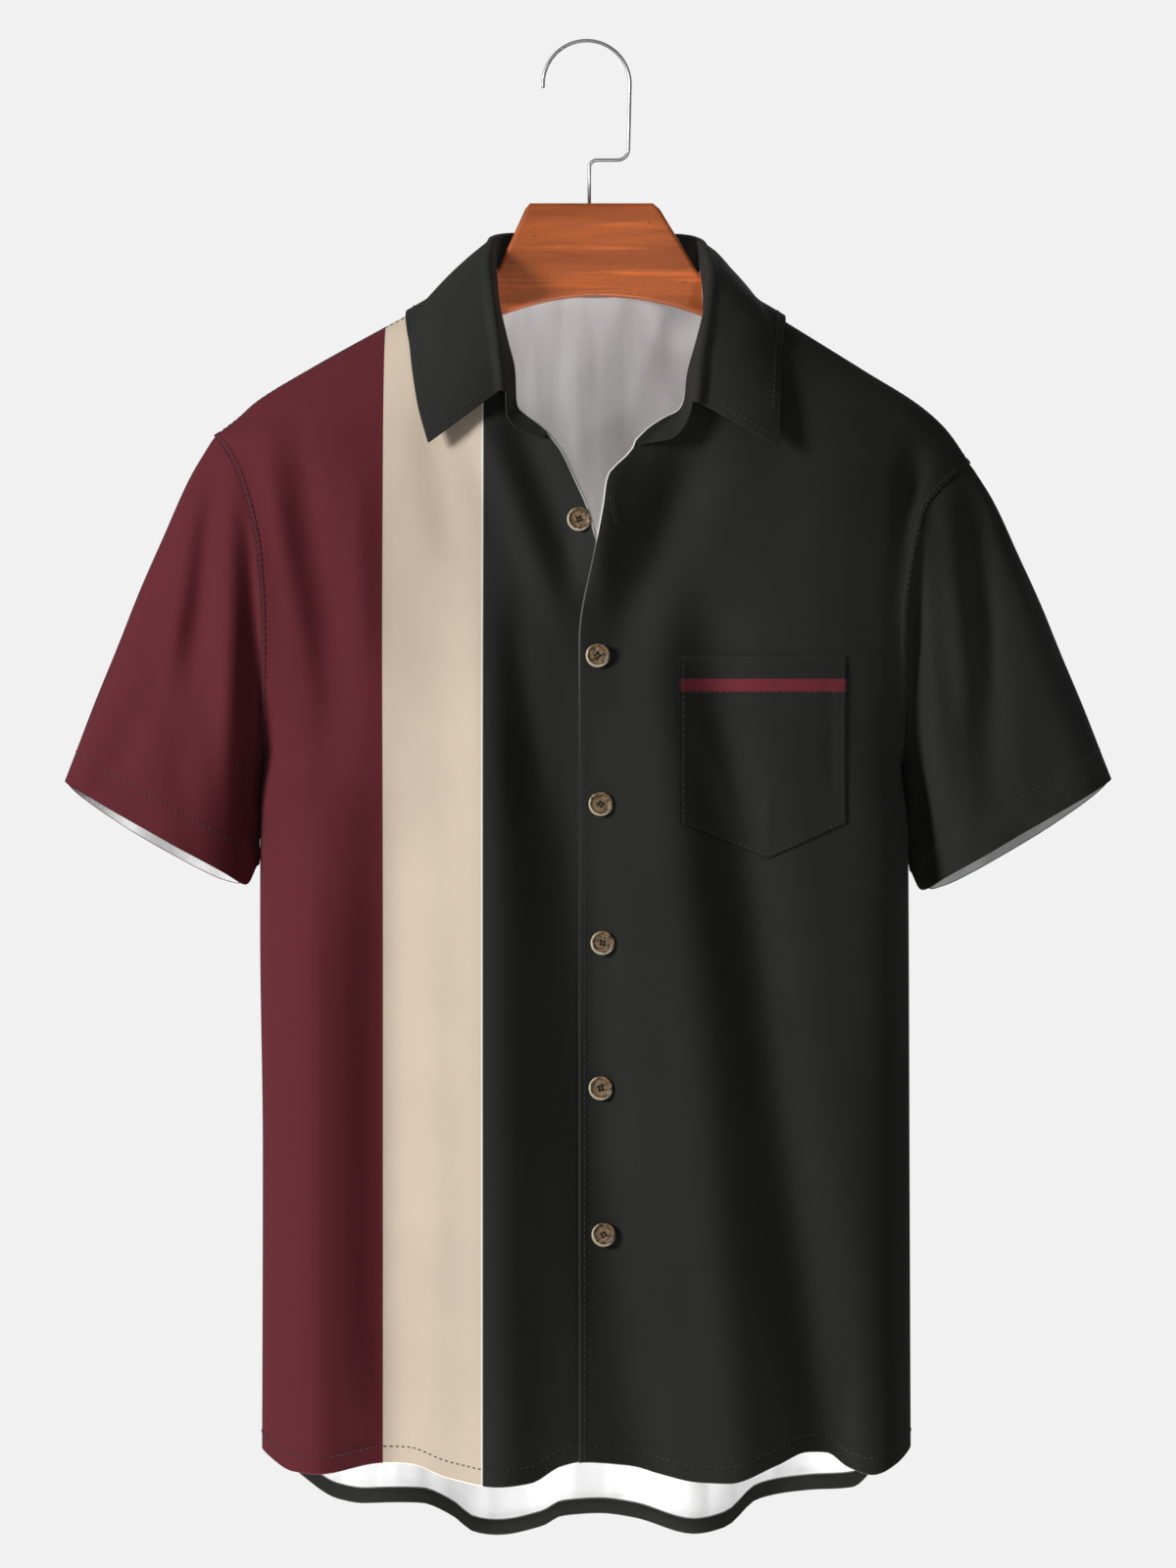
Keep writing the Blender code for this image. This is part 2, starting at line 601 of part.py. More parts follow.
def sleeve_point(side, turn, share):
    """A point of a sleeve: turn runs round from the shoulder over the front, share from armhole to hem."""
    hole, sleeve = ARMHOLES[side], SLEEVES[side]
    outward = -1 if side == "left" else 1
    facing = -sin(turn)
    z = (hole.tip + hole.pit) / 2 + (hole.tip - hole.pit) / 2 * cos(turn)
    depth = hole.front if facing < 0 else hole.back
    gap = SLEEVE_GAP + CROWN_GAP * max(cos(turn), 0.0)
    start = Vector((flank_x[side](z) + outward * gap, facing * depth, z))
    outer = Vector((sleeve.outer_x, 0, sleeve.outer_z))
    inner = Vector((sleeve.inner_x, 0, sleeve.inner_z))
    reach = (1 + cos(turn)) / 2
    end = inner.lerp(outer, reach) + Vector((0, facing * sleeve.depth, -SLEEVE_BACK_DROP * max(facing, 0.0)))
    bow = SLEEVE_CROWN * max(cos(turn), 0.0) * sin(pi * share ** 0.7)
    return start.lerp(end, share) + Vector((outward * CROWN_OUT, 0, CROWN_UP)) * bow


def sleeve(name, side, material_name):
    """A short sleeve: a tube from the armhole to its hem."""
    around = 2 * ARMHOLE_ROWS
    rows = []
    for i in range(SLEEVE_ROWS + 1):
        share = i / SLEEVE_ROWS
        rows.append([sleeve_point(side, 2 * pi * (j % around) / around, share) for j in range(around + 1)])
    if side == "left":
        rows = [row[::-1] for row in rows]
    return cloth(name, rows, material_name, closed=True)


# ---- collar ----

def lifted(point, panels, clearance):
    """The point, moved off the panels until it is the given distance clear of them."""
    place, normal, _, _ = panels.find_nearest(point)
    short = clearance - (point - place).dot(normal)
    return point + normal * short if short > 0 else point


def body_tree(*grids):
    """All the body's outer faces as one searchable surface."""
    points, faces = [], []
    for rows in grids:
        more_points, more_faces = grid_faces(rows)
        faces += [[len(points) + corner for corner in face] for face in more_faces]
        points += more_points
    return BVHTree.FromPolygons(points, faces)


def tab_top(row):
    """The free edge of a tab, standing a little in front of the cloth below it."""
    return row.top_x, body_y(row.top_x, row.top_z) - row.lift, row.top_z


def collar_curves():
    """The stand's top and the leaf's edge as smooth curves, read like the neckline."""
    tops = [tab_top(row) for row in LEFT_TAB]
    tops += [(row.top_x, row.top_y, row.top_z) for row in COLLAR]
    tops += [tab_top(row) for row in RIGHT_TAB]
    edges = [(row.edge_x, row.edge_y, row.edge_z) for row in COLLAR]
    edges = [edges[0]] * len(LEFT_TAB) + edges + [edges[-1]] * len(RIGHT_TAB)
    return numbered(tops), numbered(edges)


def read(curves, at):
    """The point at a place on a line that is given as one curve for each axis."""
    return Vector([curve(at) for curve in curves])


def heading(curves, at):
    """The direction the line runs in at a place."""
    return (read(curves, at + NEARBY) - read(curves, at - NEARBY)).normalized()


def even_stations(curves, first, last, columns):
    """Places evenly spaced by length along a curve."""
    steps = FINE_STEPS * 5
    fine = [first + (last - first) * k / steps for k in range(steps + 1)]
    length = [0.0]
    for a, b in zip(fine, fine[1:]):
        length.append(length[-1] + (read(curves, b) - read(curves, a)).length)
    inner = [length[-1] * j / columns for j in range(1, columns)]
    return [first, *(fine[bisect_right(length, each)] for each in inner), last]


def leaf_stations():
    """Where the leaf's columns stand, evenly spaced along its edge."""
    _, edges = collar_curves()
    return even_stations(edges, len(LEFT_TAB), len(LEFT_TAB) + len(COLLAR) - 1, LEAF_COLUMNS)


def stand_piece(panels):
    """The collar's stand: a band from the neckline up to its top, its two tabs lying open."""
    tops, _ = collar_curves()
    leaf = leaf_stations()
    left_tab = even_stations(tops, 0, leaf[0], TAB_COLUMNS)
    right_tab = even_stations(tops, leaf[-1], len(neckline_rows) - 1, TAB_COLUMNS)
    columns = []
    for at in [*left_tab[:-1], *leaf, *right_tab[1:]]:
        seam, top = neck_place(at), read(tops, at)
        up = (top - seam).normalized()
        inward = heading(tops, at).cross(up).normalized()
        foot = seam + up * STAND_GAP + inward * STAND_INSET
        across = [foot.lerp(top, k / STAND_ROWS) for k in range(STAND_ROWS + 1)]
        columns.append([lifted(point, panels, STAND_CLEARANCE) for point in across])
    rows = [list(row)[::-1] for row in zip(*columns)]
    return cloth("collar_stand", rows, "black")


def leaf_profile(seam, top, edge, along, panels):
    """Across the leaf: up from the stand's top, over the roll and down to the edge."""
    up = (top - seam).normalized()
    out = up.cross(along).normalized()
    centre = top + up * ROLL_RISE + out * (ROLL_RADIUS - WALL)
    points = [top - out * WALL + up * STAND_GAP]
    points += [centre + (up * sin(a) - out * cos(a)) * ROLL_RADIUS for a in (0.0, pi / 3, 2 * pi / 3)]
    start = centre + out * ROLL_RADIUS
    bow = (edge - start).cross(along).normalized()
    for k in range(LEAF_ROWS + 1):
        share = k / LEAF_ROWS
        place = start.lerp(edge, share) - bow * LEAF_BOW * 4 * share * (1 - share)
        points.append(lifted(place, panels, LEAF_CLEARANCE))
    return points


def leaf_piece(panels):
    """The collar's leaf, turned down over the stand."""
    tops, edges = collar_curves()
    columns = []
    for at in leaf_stations():
        place = neck_place(at), read(tops, at), read(edges, at)
        columns.append(leaf_profile(*place, heading(tops, at), panels))
    rows = [list(row) for row in zip(*columns)]
    return cloth("collar_leaf", rows, "black")


# ---- pocket and buttons ----

def foremost(panels, x, z, reach):
    """Y of the foremost cloth within a reach of a place seen from the front."""
    nearest = 0.0
    for turn in range(12):
        for share in (0.0, 0.5, 1.0):
            angle = turn * pi / 6
            eye = Vector((x + reach * share * cos(angle), FAR_IN_FRONT, z + reach * share * sin(angle)))
            place, _, _, _ = panels.ray_cast(eye, Vector((0, 1, 0)))
            nearest = min(nearest, place.y)
    return nearest


def pocket_low(x):
    """Height of the pocket's pointed lower edge."""
    side = POCKET_LEFT if x < POCKET_POINT_X else POCKET_RIGHT
    return POCKET_SIDE + (POCKET_POINT - POCKET_SIDE) * (x - side) / (POCKET_POINT_X - side)


def pocket(panels):
    """A flat patch on the buttoned front, with a pointed lower edge."""
    rows = []
    for i in range(POCKET_ROWS + 1):
        row = []
        for j in range(POCKET_COLUMNS + 1):
            x = POCKET_LEFT + (POCKET_RIGHT - POCKET_LEFT) * j / POCKET_COLUMNS
            z = pocket_low(x) + (POCKET_TOP - pocket_low(x)) * i / POCKET_ROWS
            row.append(Vector((x, foremost(panels, x, z, POCKET_REACH) - POCKET_GAP - WALL, z)))
        rows.append(row)
    return cloth("pocket", rows, "black")


def button_profile():
    """Half of a button's section, from the middle of its dish over the rim to the middle of its back."""
    dish = BUTTON_THICK - BUTTON_DISH
    inner = BUTTON_RADIUS - BUTTON_RIM
    profile = [(0, dish), (inner - BUTTON_ROUND, dish), (inner, BUTTON_THICK),
               (BUTTON_RADIUS - BUTTON_DRAFT, BUTTON_THICK), (BUTTON_RADIUS, BUTTON_ROUND),
               (BUTTON_RADIUS - BUTTON_ROUND, 0), (0, 0)]
    mesh = bpy.data.meshes.new("button_profile")
    points = [(radius * MM, 0, height * MM) for radius, height in profile]
    mesh.from_pydata(points, [(k, k + 1) for k in range(len(points) - 1)], [])
    mesh.materials.append(material("coconut"))
    return mesh


def turned(made, steps):
    """Turn an object's profile about its own Z."""
    screw = made.modifiers.new("turned", "SCREW")
    screw.axis = "Z"
    screw.steps = steps
    screw.render_steps = steps
    screw.use_merge_vertices = True
    screw.merge_threshold = 0.00005


def thread_holes():
    """One cutter with the four round holes of a button."""
    places = [Vector((cos(angle), sin(angle), 0)) * THREAD_SPREAD for angle in QUARTERS]
    return cutter("thread_holes", places, THREAD_HOLE, 4 * BUTTON_THICK, HOLE_SIDES)


def cut_out(made, cutting):
    """Take a cutter's shape out of an object."""
    cut = made.modifiers.new(cutting.name, "BOOLEAN")
    cut.operation = "DIFFERENCE"
    cut.solver = "EXACT"
    cut.object = cutting


def buttons(panels):
    """The six buttons, each just clear of the cloth under its whole disc."""
    profile = button_profile()
    for number, button in enumerate(BUTTONS, start=1):
        made = bpy.data.objects.new(f"button_{number}", profile)
        collection(OBJECT_NAME).objects.link(made)
        turned(made, BUTTON_SIDES)
        made.rotation_euler = (pi / 2, 0, 0)
        seat = foremost(panels, button.x, button.z, BUTTON_RADIUS) - BUTTON_GAP
        made.location = Vector((button.x, seat, button.z)) * MM
        holes = thread_holes()
        holes.rotation_euler = made.rotation_euler
        holes.location = made.location
        cut_out(made, holes)


# ---- hanger and hook ----

def wood_top(x):
    """Height of the arms' upper edge, a little below the shoulders."""
    below = ARM_BELOW_NECK + (ARM_BELOW_TIP - ARM_BELOW_NECK) * abs(x) / ARM_TIP_RIGHT
    return ridge_z(x) - below


def arm_outline(neck, tip, foot):
    """One arm: out along its top, round its end and back along its underside to the arch."""
    points = []
    for k in range(ARM_STEPS + 1):
        x = neck + (tip - neck) * k / ARM_STEPS
        points.append(Outline(x, wood_top(x)))
    radius = ARM_SLIM / 2
    outward = -radius if tip < 0 else radius
    end_z = wood_top(tip) - radius - ARM_END_DROP
    for degrees in ARM_END:
        angle = radians(degrees)
        points.append(Outline(tip + outward * cos(angle), end_z + radius * sin(angle)))
    for k in range(ARM_STEPS):
        x = tip + (foot - tip) * k / ARM_STEPS
        deep = ARM_SLIM + (ARM_DEEP - ARM_SLIM) * k / ARM_STEPS
        points.append(Outline(x, wood_top(x) - deep))
    return points + [Outline(foot, ARCH_FOOT_Z)]


def arch_outline():
    """The underside between the arms, highest near the middle."""
    points = []
    for k in range(1, ARCH_STEPS):
        x = ARCH_LEFT_X + (ARCH_RIGHT_X - ARCH_LEFT_X) * k / ARCH_STEPS
        foot = ARCH_LEFT_X if x < ARCH_TOP_X else ARCH_RIGHT_X
        share = (x - ARCH_TOP_X) / (foot - ARCH_TOP_X)
        points.append(Outline(x, ARCH_TOP_Z + (ARCH_FOOT_Z - ARCH_TOP_Z) * share ** 2))
    return points


def wood_outline():
    """The wood's outline, anticlockwise from the left of its top edge."""
    left = arm_outline(WOOD_NECK_LEFT, ARM_TIP_LEFT, ARCH_LEFT_X)
    right = arm_outline(WOOD_NECK_RIGHT, ARM_TIP_RIGHT, ARCH_RIGHT_X)
    return [Outline(WOOD_TOP_LEFT, WOOD_TOP), Outline(WOOD_CHAMFER_LEFT, WOOD_CHAMFER), *left,
            *arch_outline(), *right[::-1], Outline(WOOD_CHAMFER_RIGHT, WOOD_CHAMFER),
            Outline(WOOD_TOP_RIGHT, WOOD_TOP)]


def as_mesh(curve_object):
    """The welded mesh of a curve object, in place of the object."""
    evaluated = curve_object.evaluated_get(bpy.context.evaluated_depsgraph_get())
    mesh = bpy.data.meshes.new_from_object(evaluated)
    shape = bmesh.new()
    shape.from_mesh(mesh)
    bmesh.ops.remove_doubles(shape, verts=shape.verts, dist=0.00001)
    bmesh.ops.recalc_face_normals(shape, faces=shape.faces)
    shape.to_mesh(mesh)
    shape.free()
    mesh.materials.clear()
    bpy.data.objects.remove(curve_object)
    return mesh


def wood_curve():
    """The wood's outline as a filled curve with its thickness and rounded edges."""
    curve = bpy.data.curves.new("wood_outline", "CURVE")
    curve.dimensions = "2D"
    curve.fill_mode = "BOTH"
    curve.extrude = (WOOD_THICK / 2 - WOOD_ROUND) * MM
    curve.bevel_depth = WOOD_ROUND * MM
    curve.offset = -WOOD_ROUND * MM
    curve.bevel_resolution = 1
    outline = wood_outline()
    spline = curve.splines.new("POLY")
    spline.points.add(len(outline) - 1)
    spline.use_cyclic_u = True
    for point, place in zip(spline.points, outline):
        point.co = (place.x * MM, place.z * MM, 0, 1)
    return add_object("wood_outline", curve, "wood")


def hanger():
    """The flat wooden hanger with a hole for the hook's shank."""
    mesh = as_mesh(wood_curve())
    mesh.transform(Matrix.Rotation(pi / 2, 4, "X"))
    wood = add_object("hanger_wood", mesh, "wood")
    bore = cutter("shank_bore", [Vector((SHANK_X, 0, WOOD_TOP))], WIRE_RADIUS + SEAM_GAP,
                  2 * (SHANK_DEPTH + SEAM_GAP), BORE_SIDES)
    cut_out(wood, bore)
    return wood


def bend(x, z, radius, start, end, steps):
    """Points round a bend in the hook about a centre, between two angles in degrees."""
    points = []
    for k in range(steps + 1):
        angle = radians(start + (end - start) * k / steps)
        points.append(Vector((x + radius * cos(angle), 0, z + radius * sin(angle))))
    return points


def hook_path():
    """The wire's middle line: round the hook, down its side, across the crank and down the shank."""
    side, crank = HOOK_SIDE_BEND, HOOK_SHANK_BEND
    points = bend(HOOK_X, HOOK_Z, HOOK_RADIUS, HOOK_TIP_ANGLE, 0, HOOK_STEPS)
    points += bend(HOOK_SIDE_X - side, HOOK_CRANK_Z + side, side, 0, -90, WIRE_STEPS)
    points += bend(SHANK_X + crank, HOOK_CRANK_Z - crank, crank, 90, 180, WIRE_STEPS)
    points.append(Vector((SHANK_X, 0, WOOD_TOP - SHANK_DEPTH)))
    return points


def hook():
    """The round wire."""
    curve = bpy.data.curves.new("hook_wire", "CURVE")
    curve.dimensions = "3D"
    curve.bevel_depth = WIRE_RADIUS * MM
    curve.bevel_resolution = 2
    curve.use_fill_caps = True
    path = hook_path()
    spline = curve.splines.new("POLY")
    spline.points.add(len(path) - 1)
    for point, place in zip(spline.points, path):
        point.co = (*(place * MM), 1)
    return add_object("hook_wire", curve, "steel")


def main():
    """Clear the scene and make every piece."""
    for old in list(bpy.data.objects):
        bpy.data.objects.remove(old)
    _, right_rows = front_panel("front_right", "left", "maroon", body_y)
    _, left_rows = front_panel("front_left", "right", "black", over_y)
    _, back_rows = back_panel()
    sleeve("sleeve_right", "left", "maroon")
    sleeve("sleeve_left", "right", "black")
    panels = body_tree(right_rows, left_rows, back_rows)
    stand_piece(panels)
    leaf_piece(panels)
    pocket(panels)
    buttons(panels)
    hanger()
    hook()


main()
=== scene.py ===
"""A short-sleeve bowling shirt, buttoned up, on a wooden hanger with a wire hook: its finished looks.

Run as a script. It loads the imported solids, makes every visible piece over them and sets a small studio.
X runs to the right as the front is seen, Y to the back and Z up, from the inside top of the hook.
The tables below are in millimetres; the properties a user would change are in metres.
"""

from collections import namedtuple
from math import cos, pi, radians, sin

import bmesh
import bpy
import numpy as np
from mathutils import Matrix, Vector
from mathutils.bvhtree import BVHTree


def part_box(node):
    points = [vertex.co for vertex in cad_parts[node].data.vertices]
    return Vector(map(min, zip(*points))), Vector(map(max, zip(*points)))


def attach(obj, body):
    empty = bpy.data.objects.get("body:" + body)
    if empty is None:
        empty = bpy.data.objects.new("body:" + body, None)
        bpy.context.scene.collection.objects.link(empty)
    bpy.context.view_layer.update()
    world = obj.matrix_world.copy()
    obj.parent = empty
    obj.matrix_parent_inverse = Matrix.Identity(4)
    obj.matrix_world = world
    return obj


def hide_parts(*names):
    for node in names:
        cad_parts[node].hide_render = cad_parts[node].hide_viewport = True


bl_info = {
    "name": "Bowling shirt on a hanger",
    "version": (1, 0, 0),
    "blender": (4, 5, 0),
    "location": "3D View > Sidebar > Shirt",
    "description": "Makes the cloth, sewing, buttons, hanger and studio of a bowling shirt over its solids",
    "category": "Object",
}

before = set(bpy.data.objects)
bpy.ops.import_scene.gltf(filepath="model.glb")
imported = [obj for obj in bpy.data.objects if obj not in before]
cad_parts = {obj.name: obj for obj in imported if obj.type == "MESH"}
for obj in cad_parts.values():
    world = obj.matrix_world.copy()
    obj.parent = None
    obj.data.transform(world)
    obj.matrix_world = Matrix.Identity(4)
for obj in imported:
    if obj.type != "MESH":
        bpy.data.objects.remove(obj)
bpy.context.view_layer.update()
MM, SAME_POINT = 0.001, 0.00001

Station = namedtuple("Station", "z x")
Depth = namedtuple("Depth", "z front back roundness")
Hem = namedtuple("Hem", "x z")
Fold = namedtuple("Fold", "x_top z_top x_low z_low width depth")
Armhole = namedtuple("Armhole", "tip pit front back")
Sleeve = namedtuple("Sleeve", "outer_x outer_z inner_x inner_z depth")
Tab = namedtuple("Tab", "seam_x seam_z top_x lift top_z")
Collar = namedtuple("Collar", "seam_x seam_z top_x top_y top_z edge_x edge_y edge_z")
Place = namedtuple("Place", "at x y z")
Drag = namedtuple("Drag", "turn_top turn_low width depth start full")
Uneven = namedtuple("Uneven", "depth pitch seed")
Seam = namedtuple("Seam", "border inset start end")
Grain = namedtuple("Grain", "stretch detail rough low high share by")
Lamp = namedtuple("Lamp", "name place target size power spread")


def table(kind, *rows):
    """Rows of one kind."""
    return [kind(*row) for row in rows]


# ---- the body's form ----
# The solids were made from like tables. The folds, the side lines and the roundness are the finish's own.
# Where the shoulder ridge lies at each height, from the shoulder tip up to the neck point.
RIDGE = {
    "left": table(
        Station, (-249, -236), (-238, -221.7), (-228, -210.6), (-207, -176.7), (-172, -113.4),
        (-142, -59),
    ),
    "right": table(
        Station, (-266, 241.2), (-245.5, 227), (-231, 211.4), (-207, 173.6), (-172, 117.2), (-142, 69),
    ),
}
# The body's outer edge below the tip, from the hem up: the side seam, then the armhole.
FLANK = {
    "left": table(
        Station, (-960, -206), (-700, -205.3), (-560, -207), (-480, -206.8), (-452, -204.5), (-371, -204),
        (-328, -206.5), (-303, -211), (-277, -219), (-260, -227.5), (-249, -236),
    ),
    "right": table(
        Station, (-960, 204), (-700, 203), (-560, 202.5), (-500, 202), (-457, 198), (-371, 198),
        (-330, 203), (-313, 206.5), (-298, 210.8), (-283, 222), (-266, 241.2),
    ),
}
BODY_MIDDLE = 3.0
ARMHOLES = {
    "left": Armhole(tip=-249, pit=-452, front=43, back=40),
    "right": Armhole(tip=-266, pit=-457, front=43, back=40),
}
DEPTHS = table(
    Depth, (-960, 66, 60, 3.0), (-700, 64, 57, 3.0), (-520, 64, 57, 3.0), (-400, 63, 58, 2.8),
    (-320, 60, 57, 2.5), (-250, 54, 55, 2.1), (-200, 45, 52, 2.0), (-172, 36, 50, 2.0),
    (-156, 30, 48, 2.0), (-142, 22, 26, 2.0),
)
FRONT_HEM = table(
    Hem, (-206, -886.6), (-184, -896), (-168, -896.5), (-128, -891), (-112, -891), (-86, -898.5),
    (-58, -902.2), (-35, -900.5), (-17, -891), (-4, -888.5), (28, -892), (44, -896.5), (70, -901),
    (86, -901), (117, -891), (136, -884), (149, -885), (162, -894), (177, -898.5), (193, -893),
    (204, -885.4),
)
BACK_HEM = table(
    Hem, (-206, -886.6), (-183, -912), (-161, -928), (-143, -932), (-108, -932.4), (-88, -939.5),
    (-72, -950), (-58, -951.4), (-30, -947), (-17, -941), (7, -940), (31, -942.5), (68, -950.8),
    (88, -947), (109, -930), (143, -923.5), (170, -920), (185, -905), (204, -885.4),
)
# Front edges, from the hem up to the collar: the layer beneath, then the buttoned layer.
UNDER_EDGE = table(
    Station, (-960, 22), (-381, 21), (-345, 15), (-316, 4.6), (-298.6, 0), (-281, -7.6), (-260, -17.7),
    (-250.6, -25.6),
)
OVER_EDGE = table(
    Station, (-960, -4.6), (-381, -4.9), (-316, 6.1), (-296, 9.8), (-279, 12.2), (-261, 27.9),
    (-255.8, 29.9),
)
EDGE_MIDDLE = -440.0
LAP, LAP_FULL, LAP_GONE = 3.0, 26.0, 75.0
SHOULDER_SEAM, TIP_SEAM = 6.0, 1.3

# Folds: positive depth comes out towards the viewer of that side, negative goes in.
FRONT_FOLDS = table(
    Fold, (-174, -430, -170, -890, 23, 11), (-124, -380, -122, -890, 22, -11),
    (-62, -290, -54, -890, 23, 13), (-30, -330, 34, -890, 24, -11), (34, -270, 94, -890, 21, 8),
    (62, -290, 152, -890, 21, -11), (188, -330, 190, -890, 34, 7), (-192, -250, -160, -420, 14, -5),
)
BACK_FOLDS = table(
    Fold, (-118, -420, -126, -940, 30, 8), (-62, -300, -60, -940, 26, -10), (6, -360, 8, -940, 30, 8),
    (60, -300, 68, -940, 26, -10), (118, -420, 128, -940, 30, 8),
)
FOLD_EASE, SHORT_FOLD, SHORT_EASE, FOLD_EDGE = 200.0, 200.0, 75.0, 0.09

SLEEVES = {
    "left": Sleeve(outer_x=-330.5, outer_z=-467, inner_x=-207.8, inner_z=-535, depth=38),
    "right": Sleeve(outer_x=330.5, outer_z=-465.6, inner_x=203.3, inner_z=-539, depth=38),
}
SLEEVE_CROWN, CROWN_OUT, CROWN_UP, SLEEVE_BACK_DROP = 5.0, 0.9, 0.42, 11.0
# The sleeve hem's inner corner hangs in front of the body's side.
INNER_FORWARD, INNER_BOW = 4.0, 0.5
SLEEVE_ROUNDNESS, CORNER_HIDDEN = {"left": (0.9, 0.8), "right": (1.7, 0.7)}, 5.0
CORNER_LIFT, CORNER_SPAN = 15.0, 0.02

LEFT_TAB = table(
    Tab, (-25.6, -250.6, -27.4, 1.5, -253.8), (-32, -245.4, -38, 4, -251.2),
    (-38.8, -240.2, -46.5, 6, -246.8), (-44.2, -235.2, -51, 8, -239),
)
RIGHT_TAB = table(
    Tab, (56.5, -237, 60.5, 8, -247), (47, -242, 51, 6, -255.5), (38, -248, 40, 4, -257.3),
    (29.9, -255.8, 31, 1.5, -258.8),
)
COLLAR = table(
    Collar,
    (-45.6, -229, -51.5, -61, -226, -99.2, -61, -257),
    (-46.2, -213, -54.5, -57, -200, -106.5, -52, -229),
    (-51, -193, -58.5, -46, -171, -111.2, -38, -199),
    (-56.5, -168, -61.5, -27, -144, -113, -18, -181),
    (-59, -142, -59.5, 2, -127, -110, 12, -171),
    (-40, -149.5, -44, 34, -120.5, -78, 45, -168),
    (-20, -154.2, -22, 46.5, -120, -38, 60, -167),
    (5, -156, 5, 51.5, -120, 5, 64, -166),
    (30, -154.2, 32, 46.5, -120, 48, 60, -167),
    (50, -149.5, 54, 34, -121, 88, 45, -169),
    (71.1, -143.3, 70.5, 2, -129, 118, 12, -176),
    (73, -175, 76, -27, -149, 121.5, -18, -185),
    (68, -195, 73, -46, -177, 120.5, -38, -206),
    (62.5, -215, 68.5, -57, -205, 119.5, -52, -232),
    (60.2, -231, 65.5, -61, -232, 118.5, -61, -260),
)
LEFT_NECK, RIGHT_NECK = 4, 10
ROLL_RADIUS, ROLL_RISE, LEAF_BOW = 3.0, 1.4, 2.5
LEAF_CLEARANCE, STAND_CLEARANCE, STAND_INSET = 3.2, 0.8, 0.5
NEARBY = 0.1

POCKET_LEFT, POCKET_RIGHT = 57.0, 160.5
POCKET_TOP, POCKET_SIDE, POCKET_POINT, POCKET_POINT_X = -390.4, -493.5, -515.5, 111.4

# ---- how finely the cloth and wire are divided ----
FRONT_COLUMNS, NECK_COLUMNS, SHOULDER_COLUMNS = 84, 40, 46
SIDE_ROWS, ARMHOLE_ROWS, SLEEVE_ROWS = 80, 72, 56
LEAF_COLUMNS, TAB_COLUMNS, STAND_ROWS, LEAF_ROWS, ROLL_ROWS = 168, 22, 10, 20, 6
POCKET_COLUMNS, POCKET_ROWS = 48, 56
FINE_STEPS, COLUMN_CROWDING, HALVINGS = 80, 1.15, 30

# ---- the finish's own sizes, in mm ----
# Smaller creases than the folds: positive depth comes out towards the viewer of that side.
FRONT_CREASES = table(
    Fold, (-46, -350, -34, -500, 12, -5), (-70, -231, -15, -376, 10, 5), (-50, -223, 3, -362, 10, -5),
    (18, -250, 0, -360, 12, 6), (72, -248, 14, -400, 19, -12), (152, -236, 160, -430, 30, 4),
    (204, -258, 200, -380, 9, -8), (-203, -250, -168, -424, 10, 4), (-184, -240, -148, -410, 10, -4),
    (-143, -270, -140, -400, 10, 3), (-150, -500, -146, -880, 8, 0.8), (-96, -520, -90, -880, 9, 0.8),
    (112, -320, 124, -400, 26, 2), (-100, -236, -84, -330, 12, -2), (-6, -620, 8, -920, 22, -4),
)
# The buttoned layer's own, along its edge.
OVER_CREASES = table(Fold, (-7, -420, -4, -600, 10, 2.5))
BACK_CREASES = table(
    Fold, (-90, -420, -96, -920, 10, 2.0), (-30, -380, -24, -920, 10, -2.0),
    (34, -430, 30, -920, 10, 2.2), (92, -400, 98, -900, 10, -2.0), (-150, -330, -172, -480, 12, -2.6),
    (150, -340, 170, -500, 12, -2.8), (-40, -185, -96, -300, 12, -2.2), (50, -185, 104, -300, 12, -2.0),
    (-160, -560, -158, -900, 9, 1.8), (156, -560, 160, -890, 9, -1.8), (-14, -175, -20, -340, 8, 3.0),
    (4, -175, 0, -340, 9, -3.0), (24, -175, 24, -340, 8, 2.2), (42, -175, 40, -340, 9, -2.4),
)
POCKET_CREASES = table(
    Fold, (64, -418, 97, -512, 8, -1.6), (111, -470, 112, -513, 4, -1.0), (150, -400, 152, -480, 5, 0.8),
)
# Creases on the front of the sleeves, seen from the front as the body's are.
SLEEVE_CREASES = {
    "left": table(
        Fold, (-246, -272, -264, -420, 9, 3.5), (-234, -275, -248, -410, 7, -3.5),
        (-226, -276, -223, -460, 10, 6.5), (-211, -300, -206, -520, 7, -4),
    ),
    "right": table(
        Fold, (224, -272, 238, -450, 9, 4.5), (241, -276, 254, -450, 9, -4.5),
        (203, -320, 204, -530, 8, -8), (256, -310, 322, -480, 17, 5.5),
    ),
}
# Folds of the sleeves, by the turn round the arm at the armhole and at the hem.
SLEEVE_DRAGS = {
    "left": table(
        Drag, (2.35, 2.62, 0.24, -4.5, 0.05, 0.6), (1.75, 1.9, 0.3, 2.5, 0.1, 0.7),
        (1.25, 0.85, 0.2, -2.2, 0.0, 0.5), (0.55, 0.5, 0.22, 1.2, 0.1, 0.6),
        (-1.1, -1.35, 0.25, -3.0, 0.05, 0.6), (-2.2, -2.5, 0.25, 2.6, 0.1, 0.6),
        (-1.7, -1.95, 0.2, -2.0, 0.1, 0.5),
    ),
    "right": table(
        Drag, (2.3, 2.6, 0.24, -5.5, 0.05, 0.6), (1.85, 2.05, 0.26, 3.0, 0.1, 0.7),
        (1.35, 1.55, 0.2, -3.0, 0.0, 0.5), (0.8, 0.85, 0.26, 1.8, 0.1, 0.6),
        (-1.0, -1.2, 0.25, -2.8, 0.05, 0.6), (-2.1, -2.45, 0.25, 2.6, 0.1, 0.6),
        (-1.6, -1.9, 0.2, -2.2, 0.1, 0.5),
    ),
}
